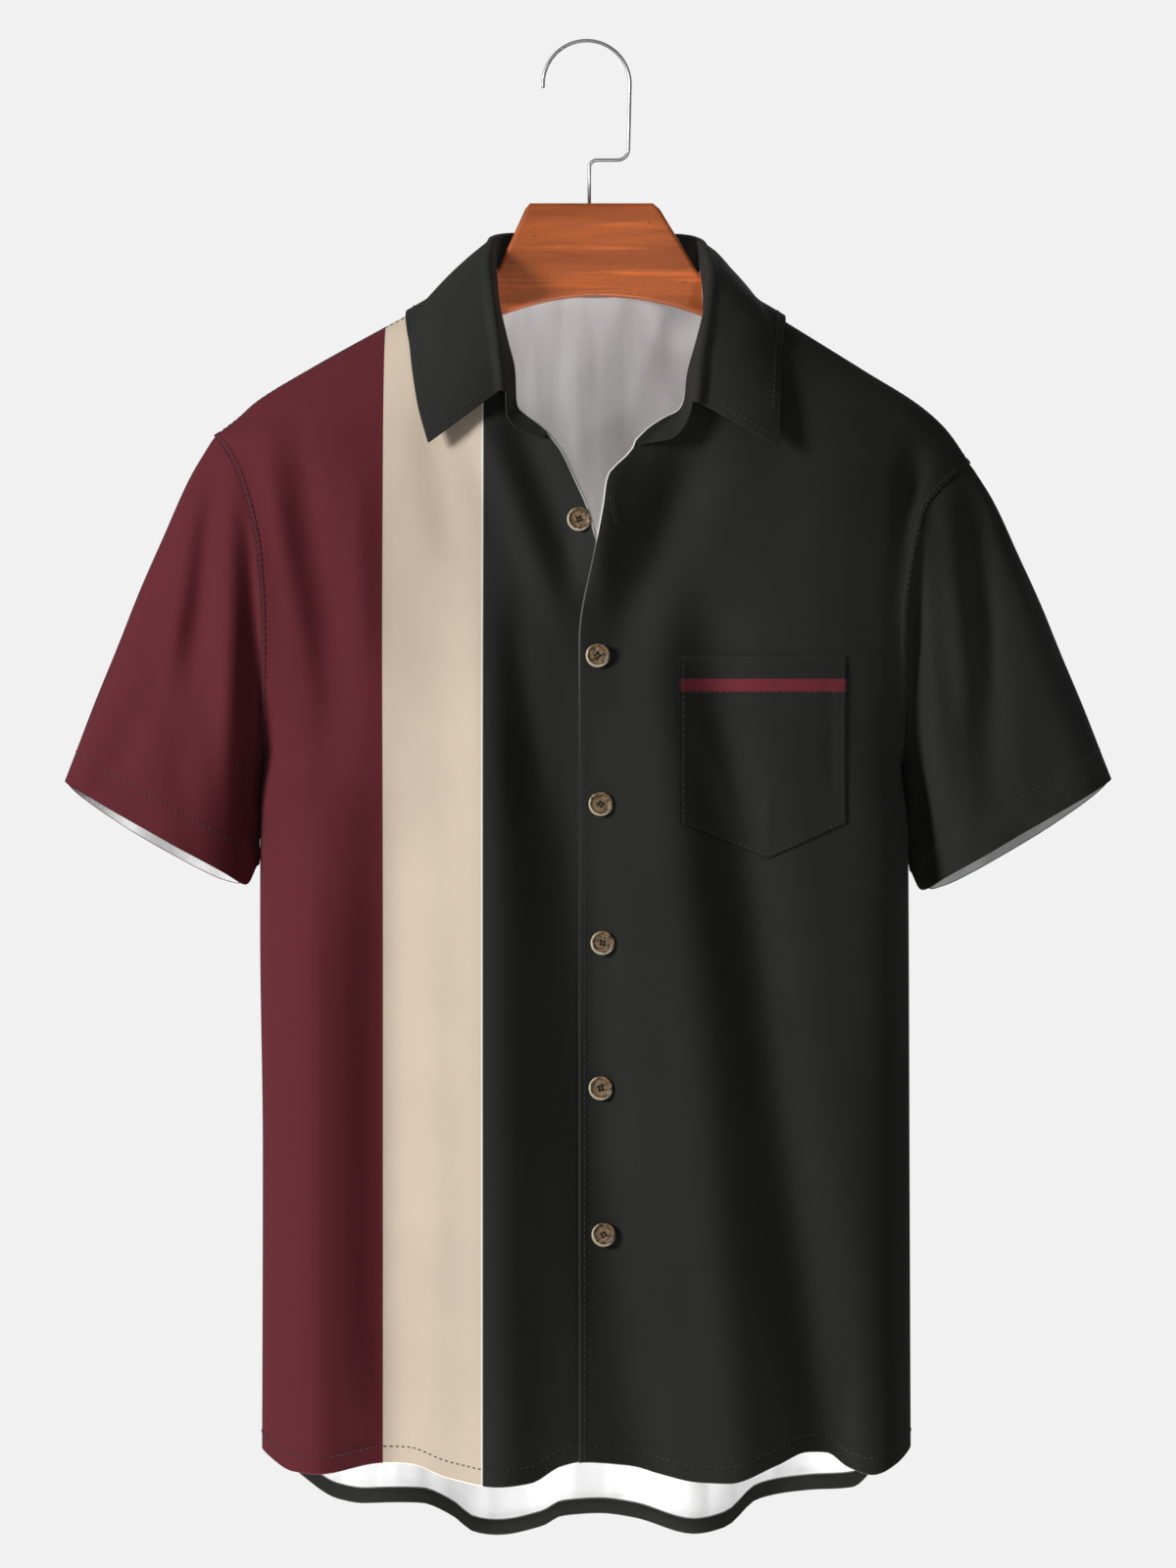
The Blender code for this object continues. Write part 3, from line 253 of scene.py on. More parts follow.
CREASE_FADE = (-0.12, 0.3)
SLEEVE_CREASE_SIDE, SLEEVE_CREASE_START, DRAG_START = 0.45, 0.03, 0.12
BACK_DROP_FULL, HIDDEN_FADE, CROWN_EASE = 0.12, (0.02, 0.25), 0.7
# Unevenness of the cloth: waves of scattered length and direction.
RIPPLE_WAVES, WAVE_LENGTHS, RIPPLE_TALL = 8, (0.6, 1.7), 0.35
FRONT_UNEVEN, BACK_UNEVEN = Uneven(0.55, 62, 11), Uneven(0.7, 80, 12)
SLEEVE_UNEVEN, LEAF_UNEVEN = Uneven(0.6, 70, 21), Uneven(0.35, 48, 31)
RIPPLE_ROUND, RIPPLE_ALONG, LEAF_TALL, LEAF_EASE, BACK_EASE = 90, 160, 0.6, (4, 18), 60
SEAM_GAP, SIDE_GAP, SLEEVE_TUCK, STAND_GAP, BORE_GAP = 0.1, 0.25, 0.4, 0.5, 0.3
SEAM_RISE, SEAM_BAND, SEAM_EDGE, SEAM_FALL, SEAM_EASE = 0.7, 4.2, 0.8, 1.6, 25
RIDGE_ROWS, ROW_CROWDING, SLEEVE_CROWDING, POCKET_CROWDING = 5, 1.3, 1.35, 1.2
RIM_ROUND, LIGHT_EDGE = 0.4, 0.5
STAND_WALL, LEAF_WALL = 1.0, 1.2
FAR_IN_FRONT, FAR_FROM_EDGE = -300.0, 500.0
HEM_FADE, EDGE_HEM = (0.5, 1.5), 0.9
# Added to a border's distance where the finish would read it as a hem or a seam that isn't there.
STAND_SEAM_AWAY, LEAF_HEM_AWAY, POCKET_HEM_AWAY = 4, 6, 8

# ---- sewing ----
HEM_WIDTH, SLEEVE_HEM = 10.0, 20.0
SEAM_LINE, PLACKET_LINE = 4.5, 3.0
LEAF_LINE, POCKET_LINE, POCKET_HEM = 5.0, 2.2, 22.0
STITCH, STITCH_GAP, THREAD_RADIUS, THREAD_SIDES = 2.4, 1.5, 0.38, 5
STITCH_RINGS = ((0, 0.4, -0.5), (0.2, 1.0, 0.35), (0.8, 1.0, 0.35), (1, 0.4, -0.5))
# Lines of stitches: the border they follow, how far in, and from which share of its length to which.
ARMPIT = SIDE_ROWS / (SIDE_ROWS + ARMHOLE_ROWS)
FRONT_SEAMS = table(
    Seam, ("low", HEM_WIDTH, 0, 1), ("last", 1.0, ARMPIT, 1), ("last", 3.2, ARMPIT, 1),
    ("high", SEAM_LINE, 0.03, 0.97),
)
SLEEVE_SEAMS = [Seam("high", SLEEVE_HEM, 0, 1)]
SEAMS = {
    "front_right": FRONT_SEAMS,
    "front_left": [*FRONT_SEAMS, Seam("first", PLACKET_LINE, 0, ARMPIT)],
    "back": table(
        Seam, ("low", HEM_WIDTH, 0, 1), ("first", 1.0, ARMPIT, 0.97), ("first", 3.2, ARMPIT, 0.97),
        ("last", 1.0, ARMPIT, 0.97), ("last", 3.2, ARMPIT, 0.97),
    ),
    "sleeve_right": SLEEVE_SEAMS,
    "sleeve_left": SLEEVE_SEAMS,
    "leaf": table(
        Seam, ("high", LEAF_LINE, 0.03, 0.97), ("first", LEAF_LINE, 0.4, 0.95),
        ("last", LEAF_LINE, 0.4, 0.95),
    ),
    "pocket": table(
        Seam, ("first", POCKET_LINE, 0.02, 0.98), ("last", POCKET_LINE, 0.02, 0.98),
        ("low", POCKET_LINE, 0.02, 0.98), ("high", POCKET_HEM, 0.03, 0.97),
    ),
}
HOLE_PITCH, HOLE_SLIT, HOLE_REACH, HOLE_BAR, HOLE_THREAD = 0.42, 0.35, 1.5, 1.2, 0.2
OPEN_HOLE = (16.5, -299.0, -78.0, 15.0)
TAB_HOLE = (52.5, -246.5, -64.0, 7.0)
POCKET_LIFT, POCKET_FULL, POCKET_GAPE, POCKET_FLAT_RIM = 0.9, 0.9, 1.4, 0.06
STRIP_LOW, STRIP_HIGH = -411.6, -403.8
CREAM_FROM, CREAM_TO, PRINT_SOFT, PALE_LINE_SPAN = -127.6, -65.0, 0.25, (1.3, 0.9)
# How far below the turned hem's fold its painted highlight line fades in, in mm, and how soft the hem's
# step to the inside is.
HEM_FOLD_HIGHLIGHT, HEM_STEP = (0.9, 0.6), 0.2
THREADS = 1900.0

# ---- buttons, hanger and hook ----
BUTTON_COUNT, BUTTON_SIDES, BUTTON_TURN = 6, 72, 0.35
BUTTON_PROFILE = [(0, 1.75), (3.6, 1.8), (4.9, 1.95), (5.6, 2.25), (6.1, 2.52), (6.6, 2.6), (7.05, 2.5),
                  (7.35, 2.2), (7.5, 1.6), (7.42, 0.8), (7.1, 0.25), (6.4, 0), (0, 0)]
# The direction in which the buttons' painted rim highlight leans: to the lower left.
RIM_HIGHLIGHT_SIDE = (0.5, 0.0, 0.86)
BUTTON_FACE, STRAND_GAP, STRAND_RADIUS, BUTTON_GAP, BUTTON_FOOT = 1.85, 0.36, 0.2, 0.2, 6.0
THREAD_HOLE, THREAD_SPREAD, PEG_SIDES = 0.9, 1.5, 24
QUARTERS = (pi / 4, 3 * pi / 4, 5 * pi / 4, 7 * pi / 4)
WOOD_THICK, WOOD_ROUND = 13.0, 3.0
WOOD_TOP, WOOD_CHAMFER = -102.1, -105.8
WOOD_TOP_LEFT, WOOD_TOP_RIGHT = -36.6, 40.9
WOOD_CHAMFER_LEFT, WOOD_CHAMFER_RIGHT = -39.7, 45.3
WOOD_NECK_LEFT, WOOD_NECK_RIGHT = -57.5, 69.4
ARM_BELOW_NECK, ARM_BELOW_TIP = 2.8, 3.9
ARM_TIP_LEFT, ARM_TIP_RIGHT = -199.0, 201.0
ARM_DEEP, ARM_SLIM = 30.0, 17.0
ARM_END, ARM_END_STEPS, ARM_END_DROP = 55.0, 9, 3.0
ARM_STEPS, ARCH_STEPS = 32, 40
ARCH_TOP_X, ARCH_TOP_Z = 6.2, -160.6
ARCH_LEFT_X, ARCH_RIGHT_X, ARCH_FOOT_Z = -56.4, 73.2, -173.3
WIRE_RADIUS, WIRE_SIDES, DOME_STEPS, DOME_TIP = 1.1, 16, 7, 0.05
HOOK_X, HOOK_Z, HOOK_RADIUS = -0.9, -26.4, 27.5
HOOK_TIP_ANGLE = 183.0
HOOK_SIDE_X, HOOK_CRANK_Z, SHANK_X = 25.6, -74.4, 0.8
HOOK_SIDE_BEND, HOOK_SHANK_BEND = 7.0, 5.0
SHANK_DEPTH = 8.0
HOOK_STEPS, WIRE_STEPS = 96, 16

# ---- cut sizes of the cloth, in metres and square metres ----
FRONT_FLAT, FRONT_RIGHT_AREA, FRONT_LEFT_AREA = (0.30, 0.76), 0.175, 0.175

# ---- finishes, light and camera, in metres, and the floor, in mm ----
CLOTH_SHEEN, CLOTH_SHEEN_ROUGHNESS, CLOTH_GLOSS = 0.04, 0.5, 0.15
# The cloths: noise by its scale, spans from a border in metres, reliefs by depth and strength.
SLUB_STRETCH, CRUMPLE_STRETCH = (260, 1900, 1), (1, 1, 0.45)
SOFT_SCALE, PUCKER_SCALE, CRUMPLE_SCALE = 11.0, 95.0, 38.0
SEAM_PUCKER, HEM_PUCKER, EDGE_PUCKER = (0.0, 0.011), (0.009, 0.022), (0.0, 0.009)
# The spans from a free edge, whose lightening is partly wear and partly painted highlight, and from a seam,
# whose darkening is painted shade.
EDGE_WEAR_AND_HIGHLIGHT, SEAM_SHADE_SPAN = (0.0, 0.0012), (0.0004, 0.0011)
# The heights between which the open collar's pale edge gives way to black.
COLLAR_OPENS = (-0.322, -0.312)
WEAVE_RELIEF, PUCKER_RELIEF, CRUMPLE_RELIEF = (0.00003, 0.6), (0.0012, 0.55), (0.0011, 0.35)
WORN_TINT, THREAD_TINT = (0.86, 0.86, 0.87), (1.45, 1.42, 1.4)
# Tints of the free edges' lightening, partly wear and partly painted highlight, and of the seams' painted
# shade.
EDGE_WEAR_AND_HIGHLIGHT_TINT, SEAM_SHADE_TINT = (1.3, 1.28, 1.26), (0.2, 0.2, 0.2)
# Layers of the wood's grain, broad to fine, each with the share and the shade that it takes.
WOOD_GRAIN = table(
    Grain, ((5, 24, 40), 2.0, 0.5, 0.4, 0.65, 0.6, 0.5), ((9, 120, 190), 3.0, 0.5, 0.52, 0.72, 0.6, 1.8),
    ((24, 300, 520), 4.0, 0.65, 0.5, 0.72, 0.55, 0.4), ((170, 600, 620), 2.0, 0.5, 0.64, 0.74, 0.6, 0.25),
)
# The coconut shell's shades by the mottle's strength, and its ring and the rim's painted highlight by the
# distance from the middle.
COCONUT_STOPS = ((0.36, 0.22), (0.66, 3.2), (0.47, 0.7), (0.56, 1.5))
BUTTON_RING, RIM_HIGHLIGHT_SPAN = (0.0046, 0.0053, 0.0057, 0.0063), (0.0066, 0.0071)
# The colours of the print's pale line, the opening's pale edge and the buttons' painted rim highlight.
PALE_LINE, PALE_EDGE, PALE_RIM_HIGHLIGHT = (0.86, 0.84, 0.78, 1.0), (0.6, 0.6, 0.59, 1.0), (0.62, 0.54, 0.4, 1.0)
BACKDROP, AMBIENT, AMBIENT_POWER = (0.88, 0.88, 0.88, 1.0), (1.0, 1.0, 1.0, 1.0), 0.12
FLOOR_COLOUR, FLOOR_RADIUS, FLOOR_Z = (0.84, 0.84, 0.84, 1.0), 1150.0, -1250.0
LAMPS = table(
    Lamp,
    ("key", (-2.5, -1.7, 0.3), (0, 0, -0.47), 0.9, 84.0, 180),
    ("front", (0.2, -2.9, -0.9), (0, 0, -0.47), 1.0, 5.0, 180),
    ("wood", (0.35, -1.15, -0.3), (0.01, 0, -0.13), 0.1, 0.024, 13),
    ("side", (2.2, -2.0, -0.1), (0.26, 0, -0.41), 0.3, 0.04, 9),
    ("below", (0.0, 0.01, -1.17), (0, 0.02, -0.9), 0.14, 2.9, 180),
    ("neck", (0.05, 0.012, -0.62), (0.02, 0.05, -0.2), 0.04, 0.22, 180),
    ("rim", (0.4, 2.4, 0.8), (0, 0, -0.47), 1.6, 12.0, 180),
)
FLOOR_SIDES = 96
CAMERA_AWAY, CAMERA_Z, CAMERA_LENS, CAMERA_SENSOR, CAMERA_REACH = 3.0, -0.469, 108.9, 36.0, 50.0


# ---- curves and surfaces ----

class Curve:
    """A smooth curve, free of overshoot, through one column of a table, read along another."""

    def __init__(self, rows, along, column):
        self.at = np.array([getattr(row, along) for row in rows], float)
        self.value = np.array([getattr(row, column) for row in rows], float)
        rise = np.diff(self.value) / np.diff(self.at)
        product, total = rise[:-1] * rise[1:], rise[:-1] + rise[1:]
        inner = np.where(product > 0, 2 * product / np.where(product > 0, total, 1), 0)
        self.slope = np.concatenate([rise[:1], inner, rise[-1:]])

    def __call__(self, at):
        at = np.clip(at, self.at[0], self.at[-1])
        i = np.clip(np.searchsorted(self.at, at, side="right") - 1, 0, len(self.at) - 2)
        step = self.at[i + 1] - self.at[i]
        t = (at - self.at[i]) / step
        start = self.value[i] * (1 + 2 * t) * (1 - t) ** 2 + self.slope[i] * step * t * (1 - t) ** 2
        end = self.value[i + 1] * (3 - 2 * t) * t ** 2 + self.slope[i + 1] * step * (t - 1) * t ** 2
        return start + end


def smoothstep(low, high, at):
    """0 below low, 1 above high, and an eased rise between."""
    t = np.clip((at - low) / (high - low), 0, 1)
    return t * t * (3 - 2 * t)


def running(points):
    """The length walked along a line of points, at each of them."""
    steps = np.linalg.norm(np.diff(points, axis=0), axis=-1)
    return np.concatenate([[0.0], np.cumsum(steps)])


def resampled(points, shares):
    """Points of a line at shares of its length."""
    length = running(points)
    at = np.asarray(shares) * length[-1]
    return np.stack([np.interp(at, length, points[:, k]) for k in range(points.shape[1])], axis=1)


ridge_x = {side: Curve(rows, "z", "x") for side, rows in RIDGE.items()}
flank_x = {side: Curve(rows, "z", "x") for side, rows in FLANK.items()}
front_depth = Curve(DEPTHS, "z", "front")
back_depth = Curve(DEPTHS, "z", "back")
roundness = Curve(DEPTHS, "z", "roundness")
front_hem = Curve(FRONT_HEM, "x", "z")
back_hem = Curve(BACK_HEM, "x", "z")
under_edge = Curve(UNDER_EDGE, "z", "x")
over_edge = Curve(OVER_EDGE, "z", "x")


def edge_x(side, z):
    """X of the body's outer edge at a height: the ridge above the tip, armhole and side seam below."""
    return np.where(z > ARMHOLES[side].tip, ridge_x[side](z), flank_x[side](z))


def hole_span(side):
    """The height of an armhole's middle, and half of its length."""
    hole = ARMHOLES[side]
    return (hole.tip + hole.pit) / 2, (hole.tip - hole.pit) / 2


def rim_share(side, z):
    """How far round the armhole's oval a height is, as the oval's share of its full depth."""
    middle, half = hole_span(side)
    return np.sqrt(np.clip(1 - ((z - middle) / half) ** 2, 0, 1))


def by_side(on_left, measure, z):
    """A measure that each side has of its own, taken for the side that a place lies on."""
    return np.where(on_left, measure("left", z), measure("right", z))


def out_share(x, z):
    """How far a place lies from the body's middle towards its outer edge, at most 1."""
    reach = np.abs(by_side(x < BODY_MIDDLE, edge_x, z) - BODY_MIDDLE)
    return np.minimum(1.0, np.abs(x - BODY_MIDDLE) / reach)


def fold_depth(folds, x, z):
    """Sum of the folds' push at a place on a panel."""
    total = np.zeros(np.broadcast(x, z).shape)
    for fold in folds:
        share = (fold.z_top - z) / (fold.z_top - fold.z_low)
        centre = fold.x_top + (fold.x_low - fold.x_top) * np.clip(share, 0, 1)
        grown = smoothstep(0, FOLD_EASE, fold.z_top - z)
        if fold.z_top - fold.z_low < SHORT_FOLD:
            grown = smoothstep(0, SHORT_EASE, fold.z_top - z) * smoothstep(-SHORT_EASE, 0, z - fold.z_low)
        total += fold.depth * grown * np.exp(-((x - centre) / fold.width) ** 2)
    return total


def body_y(x, z, back=False, folded=True):
    """Y of the outside of the front, or of the back, at a place seen from the front.

    Each level is half of a rounded oval. Beside an armhole the oval is wider than the panel, so that it
    comes to the seam at the armhole's own depth.
    """
    x, z = np.asarray(x, float), np.asarray(z, float)
    beside = out_share(x, z)
    hole_depth = ARMHOLES["left"].back if back else ARMHOLES["left"].front
    rim = by_side(x < BODY_MIDDLE, rim_share, z) * hole_depth
    depth = (back_depth if back else front_depth)(z)
    power = roundness(z)
    seam_share = (1 - (rim / depth) ** power) ** (1 / power)
    y = depth * np.clip(1 - (beside * seam_share) ** power, 0, 1) ** (1 / power)
    if folded:
        easing = smoothstep(0, FOLD_EDGE, 1 - beside)
        y = y + fold_depth(BACK_FOLDS if back else FRONT_FOLDS, x, z) * easing
    return y if back else -y


def height_at(x, forward):
    """Height on the shoulder where the front lies the given distance forward of the ridge."""
    x = np.asarray(x, float)
    on_left = x < 0
    high = np.full(x.shape, float(RIDGE["left"][-1].z))
    low = np.where(on_left, ARMHOLES["left"].tip, ARMHOLES["right"].tip).astype(float)
    for _ in range(HALVINGS):
        middle = (high + low) / 2
        outside = np.abs(x) > np.abs(by_side(on_left, edge_x, middle))
        lower = outside | (-body_y(x, middle, folded=False) < forward)
        high = np.where(lower, middle, high)
        low = np.where(lower, low, middle)
    return (high + low) / 2


def seam_forward(x, neck, tip):
    """How far in front of the ridge the shoulder seam runs, most at the neck and least at the tip."""
    return TIP_SEAM + (SHOULDER_SEAM - TIP_SEAM) * (tip - x) / (tip - neck)


def ripple(u, v, uneven):
    """A smooth uneven field about zero: waves of about one pitch that run in scattered directions."""
    chance = np.random.default_rng(uneven.seed)
    total = 0.0
    for _ in range(RIPPLE_WAVES):
        turn, start = chance.uniform(0, 2 * pi, 2)
        length = uneven.pitch * chance.uniform(*WAVE_LENGTHS)
        total = total + np.sin((u * cos(turn) + v * sin(turn)) * 2 * pi / length + start)
    return uneven.depth * (total / RIPPLE_WAVES ** 0.5)


def creased(creases, x, z):
    """Sum of the smaller creases' push, each fading towards both of its ends."""
    total = np.zeros(np.broadcast(x, z).shape)
    for crease in creases:
        run = np.array([crease.x_low - crease.x_top, crease.z_low - crease.z_top])
        length = np.hypot(*run)
        along, beside = run / length, np.array([run[1], -run[0]]) / length
        share = ((x - crease.x_top) * along[0] + (z - crease.z_top) * along[1]) / length
        off = (x - crease.x_top) * beside[0] + (z - crease.z_top) * beside[1]
        fade = smoothstep(*CREASE_FADE, share) * smoothstep(*CREASE_FADE, 1 - share)
        total += crease.depth * fade * np.exp(-(off / crease.width) ** 2)
    return total


def eased_in(x, z):
    """1 on the open cloth of a panel and 0 beside its flank, so that neighbours still meet."""
    return smoothstep(0, FOLD_EDGE, 1 - out_share(x, z))


def under_face(x, z):
    """Y of the outside of the layer beneath, with its small creases."""
    fine = creased(FRONT_CREASES, x, z) + ripple(x, z * RIPPLE_TALL, FRONT_UNEVEN)
    return body_y(x, z) - fine * eased_in(x, z)


def over_face(x, z):
    """Y of the outside of the buttoned layer, with its small creases."""
    return under_face(x, z) - creased(OVER_CREASES, x, z) - LAP * (1 - smoothstep(LAP_FULL, LAP_GONE, x))


def back_face(x, z):
    """Y of the outside of the back, with its small creases."""
    fine = creased(BACK_CREASES, x, z) + ripple(x, z * RIPPLE_TALL, BACK_UNEVEN)
    return body_y(x, z, back=True) + fine * eased_in(x, z) * smoothstep(0, BACK_EASE, back_top(x) - z)


# ---- lines and grids of the panels ----

def coons(left, right, bottom, top, across, up):
    """Points stretched between four edges, row by row from the bottom."""
    u, v = across[None, :, None], up[:, None, None]
    ruled = left[:, None] * (1 - u) + right[:, None] * u + bottom[None] * (1 - v) + top[None] * v
    corners = (left[0] * (1 - u) + right[0] * u) * (1 - v) + (left[-1] * (1 - u) + right[-1] * u) * v
    return ruled - corners


def shares(*lines):
    """The mean share of the length at each of the lines' points."""
    return np.mean([running(line) / running(line)[-1] for line in lines], axis=0)


def pairs(x, z):
    """Points of the panel's plan from their x and z."""
    return np.stack(np.broadcast_arrays(x, z), axis=-1).astype(float)


def flank_points(side):
    """The panel's outer edge in x and z: up the side seam, then up the armhole to the tip."""
    hem = float(front_hem(flank_x[side](FRONT_HEM[0].z)))
    low = hem + (ARMHOLES[side].pit - hem) * (np.arange(SIDE_ROWS) / SIDE_ROWS) ** ROW_CROWDING
    middle, half = hole_span(side)
    high = middle - half * np.cos(pi * np.arange(ARMHOLE_ROWS + 1) / ARMHOLE_ROWS)
    z = np.concatenate([low, high])
    return pairs(flank_x[side](z), z)


def numbered(points):
    """One smooth curve for each axis through the points, read by the points' number."""
    rows = [Place(number, *point) for number, point in enumerate(points)]
    return [Curve(rows, "at", axis) for axis in "xyz"]


neckline_rows = [*LEFT_TAB, *COLLAR, *RIGHT_TAB]
left_neck_at, right_neck_at = len(LEFT_TAB) + LEFT_NECK, len(LEFT_TAB) + RIGHT_NECK
neckline_x, _, neckline_z = numbered([(row.seam_x, 0, row.seam_z) for row in neckline_rows])
back_neckline = Curve(COLLAR[LEFT_NECK:RIGHT_NECK + 1], "seam_x", "seam_z")
NECKS = (COLLAR[LEFT_NECK].seam_x, COLLAR[RIGHT_NECK].seam_x)


def neck_place(at):
    """Points of the neckline, by their place among the collar's stations."""
    at = np.asarray(at, float)
    x = neckline_x(at)
    behind = (at > left_neck_at) & (at < right_neck_at)
    z = np.where(behind, back_neckline(x), neckline_z(at))
    y = np.where(behind, body_y(x, z, back=True), body_y(x, z))
    return np.stack([x, y, z], axis=-1)


def neck_seam(side):
    """The front neckline in x and z, from the front edge to the side of the neck."""
    first, last = (0, left_neck_at) if side == "left" else (len(neckline_rows) - 1, right_neck_at)
    places = neck_place(first + (last - first) * np.arange(FINE_STEPS + 1) / FINE_STEPS)
    return places[:, [0, 2]]


def front_edge_points(side):
    """The inner edge of a front: up the buttoned edge, then along the neckline to the shoulder seam."""
    edge = under_edge if side == "left" else over_edge
    hem, rise = float(front_hem(edge(FRONT_HEM[0].z))), ARMHOLE_ROWS // 2
    low = hem + (EDGE_MIDDLE - hem) * (np.arange(SIDE_ROWS) / SIDE_ROWS) ** ROW_CROWDING
    high = EDGE_MIDDLE + (edge.at[-1] - EDGE_MIDDLE) * np.arange(rise) / rise
    z = np.concatenate([low, high])
    seam = neck_seam(side)
    seam = seam[-body_y(seam[:, 0], seam[:, 1], folded=False) > SHOULDER_SEAM]
    end_x = seam[-1, 0]
    neckline = np.vstack([seam, [end_x, float(height_at(end_x, SHOULDER_SEAM))]])
    return np.vstack([pairs(edge(z), z), resampled(neckline, np.sin(pi / 2 * np.arange(rise + 1) / rise))])


def back_top(x):
    """The back's upper edge at a place: the ridge on the shoulders, the neckline between."""
    return np.where((x > NECKS[0]) & (x < NECKS[1]), back_neckline(x), height_at(x, 0.0))


class Sheet:
    """A grid of points on the outer face of a piece of cloth, and how far each lies from its borders."""

    def __init__(self, points, turned=False, closed=False):
        self.points = points
        self.first = walked(points)
        self.last = self.first[:, -1:] - self.first
        self.low = walked(points.swapaxes(0, 1)).T
        self.high = self.low[-1:] - self.low
        self.own = ~np.isnan(points[..., 0])
        number = np.full(self.own.shape, -1)
        if closed:
            self.own[:, -1] = False
        number[self.own] = np.arange(self.own.sum())
        if closed:
            number[:, -1] = number[:, 0]
        self.number = number
        quads = np.stack([number[:-1, :-1], number[:-1, 1:], number[1:, 1:], number[1:, :-1]], axis=-1)
        quads = quads.reshape(-1, 4)
        quads = quads[quads.min(axis=1) >= 0]
        self.quads = quads[:, ::-1] if turned else quads
        self.measure()

    def measure(self):
        """Work out the direction that each point faces."""
        outer = self.points[self.own]
        corners = outer[self.quads]
        facing = np.cross(corners[:, 2] - corners[:, 0], corners[:, 3] - corners[:, 1])
        normals = np.zeros_like(outer)
        for k in range(4):
            np.add.at(normals, self.quads[:, k], facing)
        self.normals = normals / np.maximum(np.linalg.norm(normals, axis=1, keepdims=True), 1e-9)
        self.facing = self.normals[self.number]

    def raised(self, push):
        """Move the points along their normals by a distance given for each place of the grid."""
        self.points = self.points + self.facing * np.asarray(push)[..., None]
        self.measure()
        return self

    def nearest(self, *borders):
        """How far each point lies from the nearest of several borders."""
        return np.minimum.reduce([getattr(self, border) for border in borders])

    def line(self, border, distance, start, end):
        """Points and normals of a line at a distance from a border, between two shares of its length."""
        field, points, facing = getattr(self, border), self.points, self.facing
        if border in ("first", "last"):
            field, points, facing = field.T, points.swapaxes(0, 1), facing.swapaxes(0, 1)
        if border in ("last", "high"):
            field, points, facing = field[::-1], points[::-1], facing[::-1]
        columns = np.arange(field.shape[1])
        columns = columns[int(start * (len(columns) - 1)):int(end * (len(columns) - 1)) + 1]
        made = []
        for j in columns:
            good = ~np.isnan(points[:, j, 0])
            walk = field[good, j] - field[good, j][0]
            both = np.concatenate([points[good, j], facing[good, j]], axis=1)
            made.append([np.interp(distance, walk, both[:, k]) for k in range(6)])
        made = np.array(made)
        return made[:, :3], made[:, 3:]


def walked(points):
    """The length walked along each row of a grid, in mm; a missing step counts as nothing."""
    steps = np.nan_to_num(np.linalg.norm(np.diff(points, axis=1), axis=-1))
    return np.concatenate([np.zeros((len(points), 1)), np.cumsum(steps, axis=1)], axis=1)


def front_sheet(side, surface):
    """One front: a grid between its buttoned edge, neckline, shoulder seam, armhole, side and hem."""
    flank, inner = flank_points(side), front_edge_points(side)
    neck_x, tip_x = inner[-1, 0], flank[-1, 0]
    across = np.sin(pi / 2 * np.arange(FRONT_COLUMNS + 1) / FRONT_COLUMNS) ** COLUMN_CROWDING
    x = inner[0, 0] + (flank[0, 0] - inner[0, 0]) * across
    bottom = pairs(x, front_hem(x))
    x = neck_x + (tip_x - neck_x) * across
    top = pairs(x, height_at(x, seam_forward(x, neck_x, tip_x)))
    flank[-1] = top[-1]
    plan = coons(inner, flank, bottom, top, across, shares(inner, flank))
    x, z = plan[..., 0], plan[..., 1]
    points = np.stack([x, surface(x, z), z], axis=-1)
    below = z[:, -1] < ARMHOLES[side].pit
    points[:, -1, 1] = np.where(below, -SIDE_GAP, np.minimum(points[:, -1, 1], -SEAM_GAP))
    points[-1, -1, 1] = -TIP_SEAM
    made = Sheet(points, turned=side == "left")
    beside_hole = smoothstep(0, SEAM_EASE, z - ARMHOLES[side].pit)
    fallen = smoothstep(SEAM_BAND - SEAM_FALL, SEAM_BAND, made.last)
    turned_in = smoothstep(0, SEAM_EDGE, made.last) * (1 - fallen)
    return made.raised(SEAM_RISE * turned_in * beside_hole)


def back_columns(tips):
    """X along the back's upper edge, close set at the tips and at each side of the neck."""
    ease = np.sin(pi / 2 * np.arange(SHOULDER_COLUMNS + 1) / SHOULDER_COLUMNS)
    left = NECKS[0] + (tips[0] - NECKS[0]) * ease
    right = NECKS[1] + (tips[1] - NECKS[1]) * ease
    round_neck = (1 - np.cos(pi * np.arange(1, NECK_COLUMNS) / NECK_COLUMNS)) / 2
    return np.concatenate([left[::-1], NECKS[0] + (NECKS[1] - NECKS[0]) * round_neck, right])


def back_sheet():
    """The back: one grid from side to side that comes forward over the shoulders to the seam."""
    left, right = flank_points("left"), flank_points("right")
    tips = [left[-1, 0], right[-1, 0]]
    x = back_columns(tips)
    top = pairs(x, back_top(x))
    across = (x - tips[0]) / (tips[1] - tips[0])
    low_x = left[0, 0] + (right[0, 0] - left[0, 0]) * across
    plan = coons(left, right, pairs(low_x, back_hem(low_x)), top, across, shares(left, right))
    points = np.stack([plan[..., 0], back_face(plan[..., 0], plan[..., 1]), plan[..., 1]], axis=-1)
    for column, side in ((0, "left"), (-1, "right")):
        below = points[:, column, 2] < ARMHOLES[side].pit
        points[:, column, 1] = np.where(below, SIDE_GAP, np.maximum(points[:, column, 1], SEAM_GAP))
    on_neck = (x > NECKS[0]) & (x < NECKS[1])
    neck, tip = np.where(x < 0, *NECKS), np.where(x < 0, *tips)
    rows = [points]
    for share in np.arange(1, RIDGE_ROWS + 1) / RIDGE_ROWS:
        forward = (seam_forward(x, neck, tip) - SEAM_GAP) * share
        row = np.stack([x, -forward, height_at(x, forward)], axis=-1)
        row[on_neck] = np.nan
        rows.append(row[None])
    return Sheet(np.concatenate(rows), turned=True)


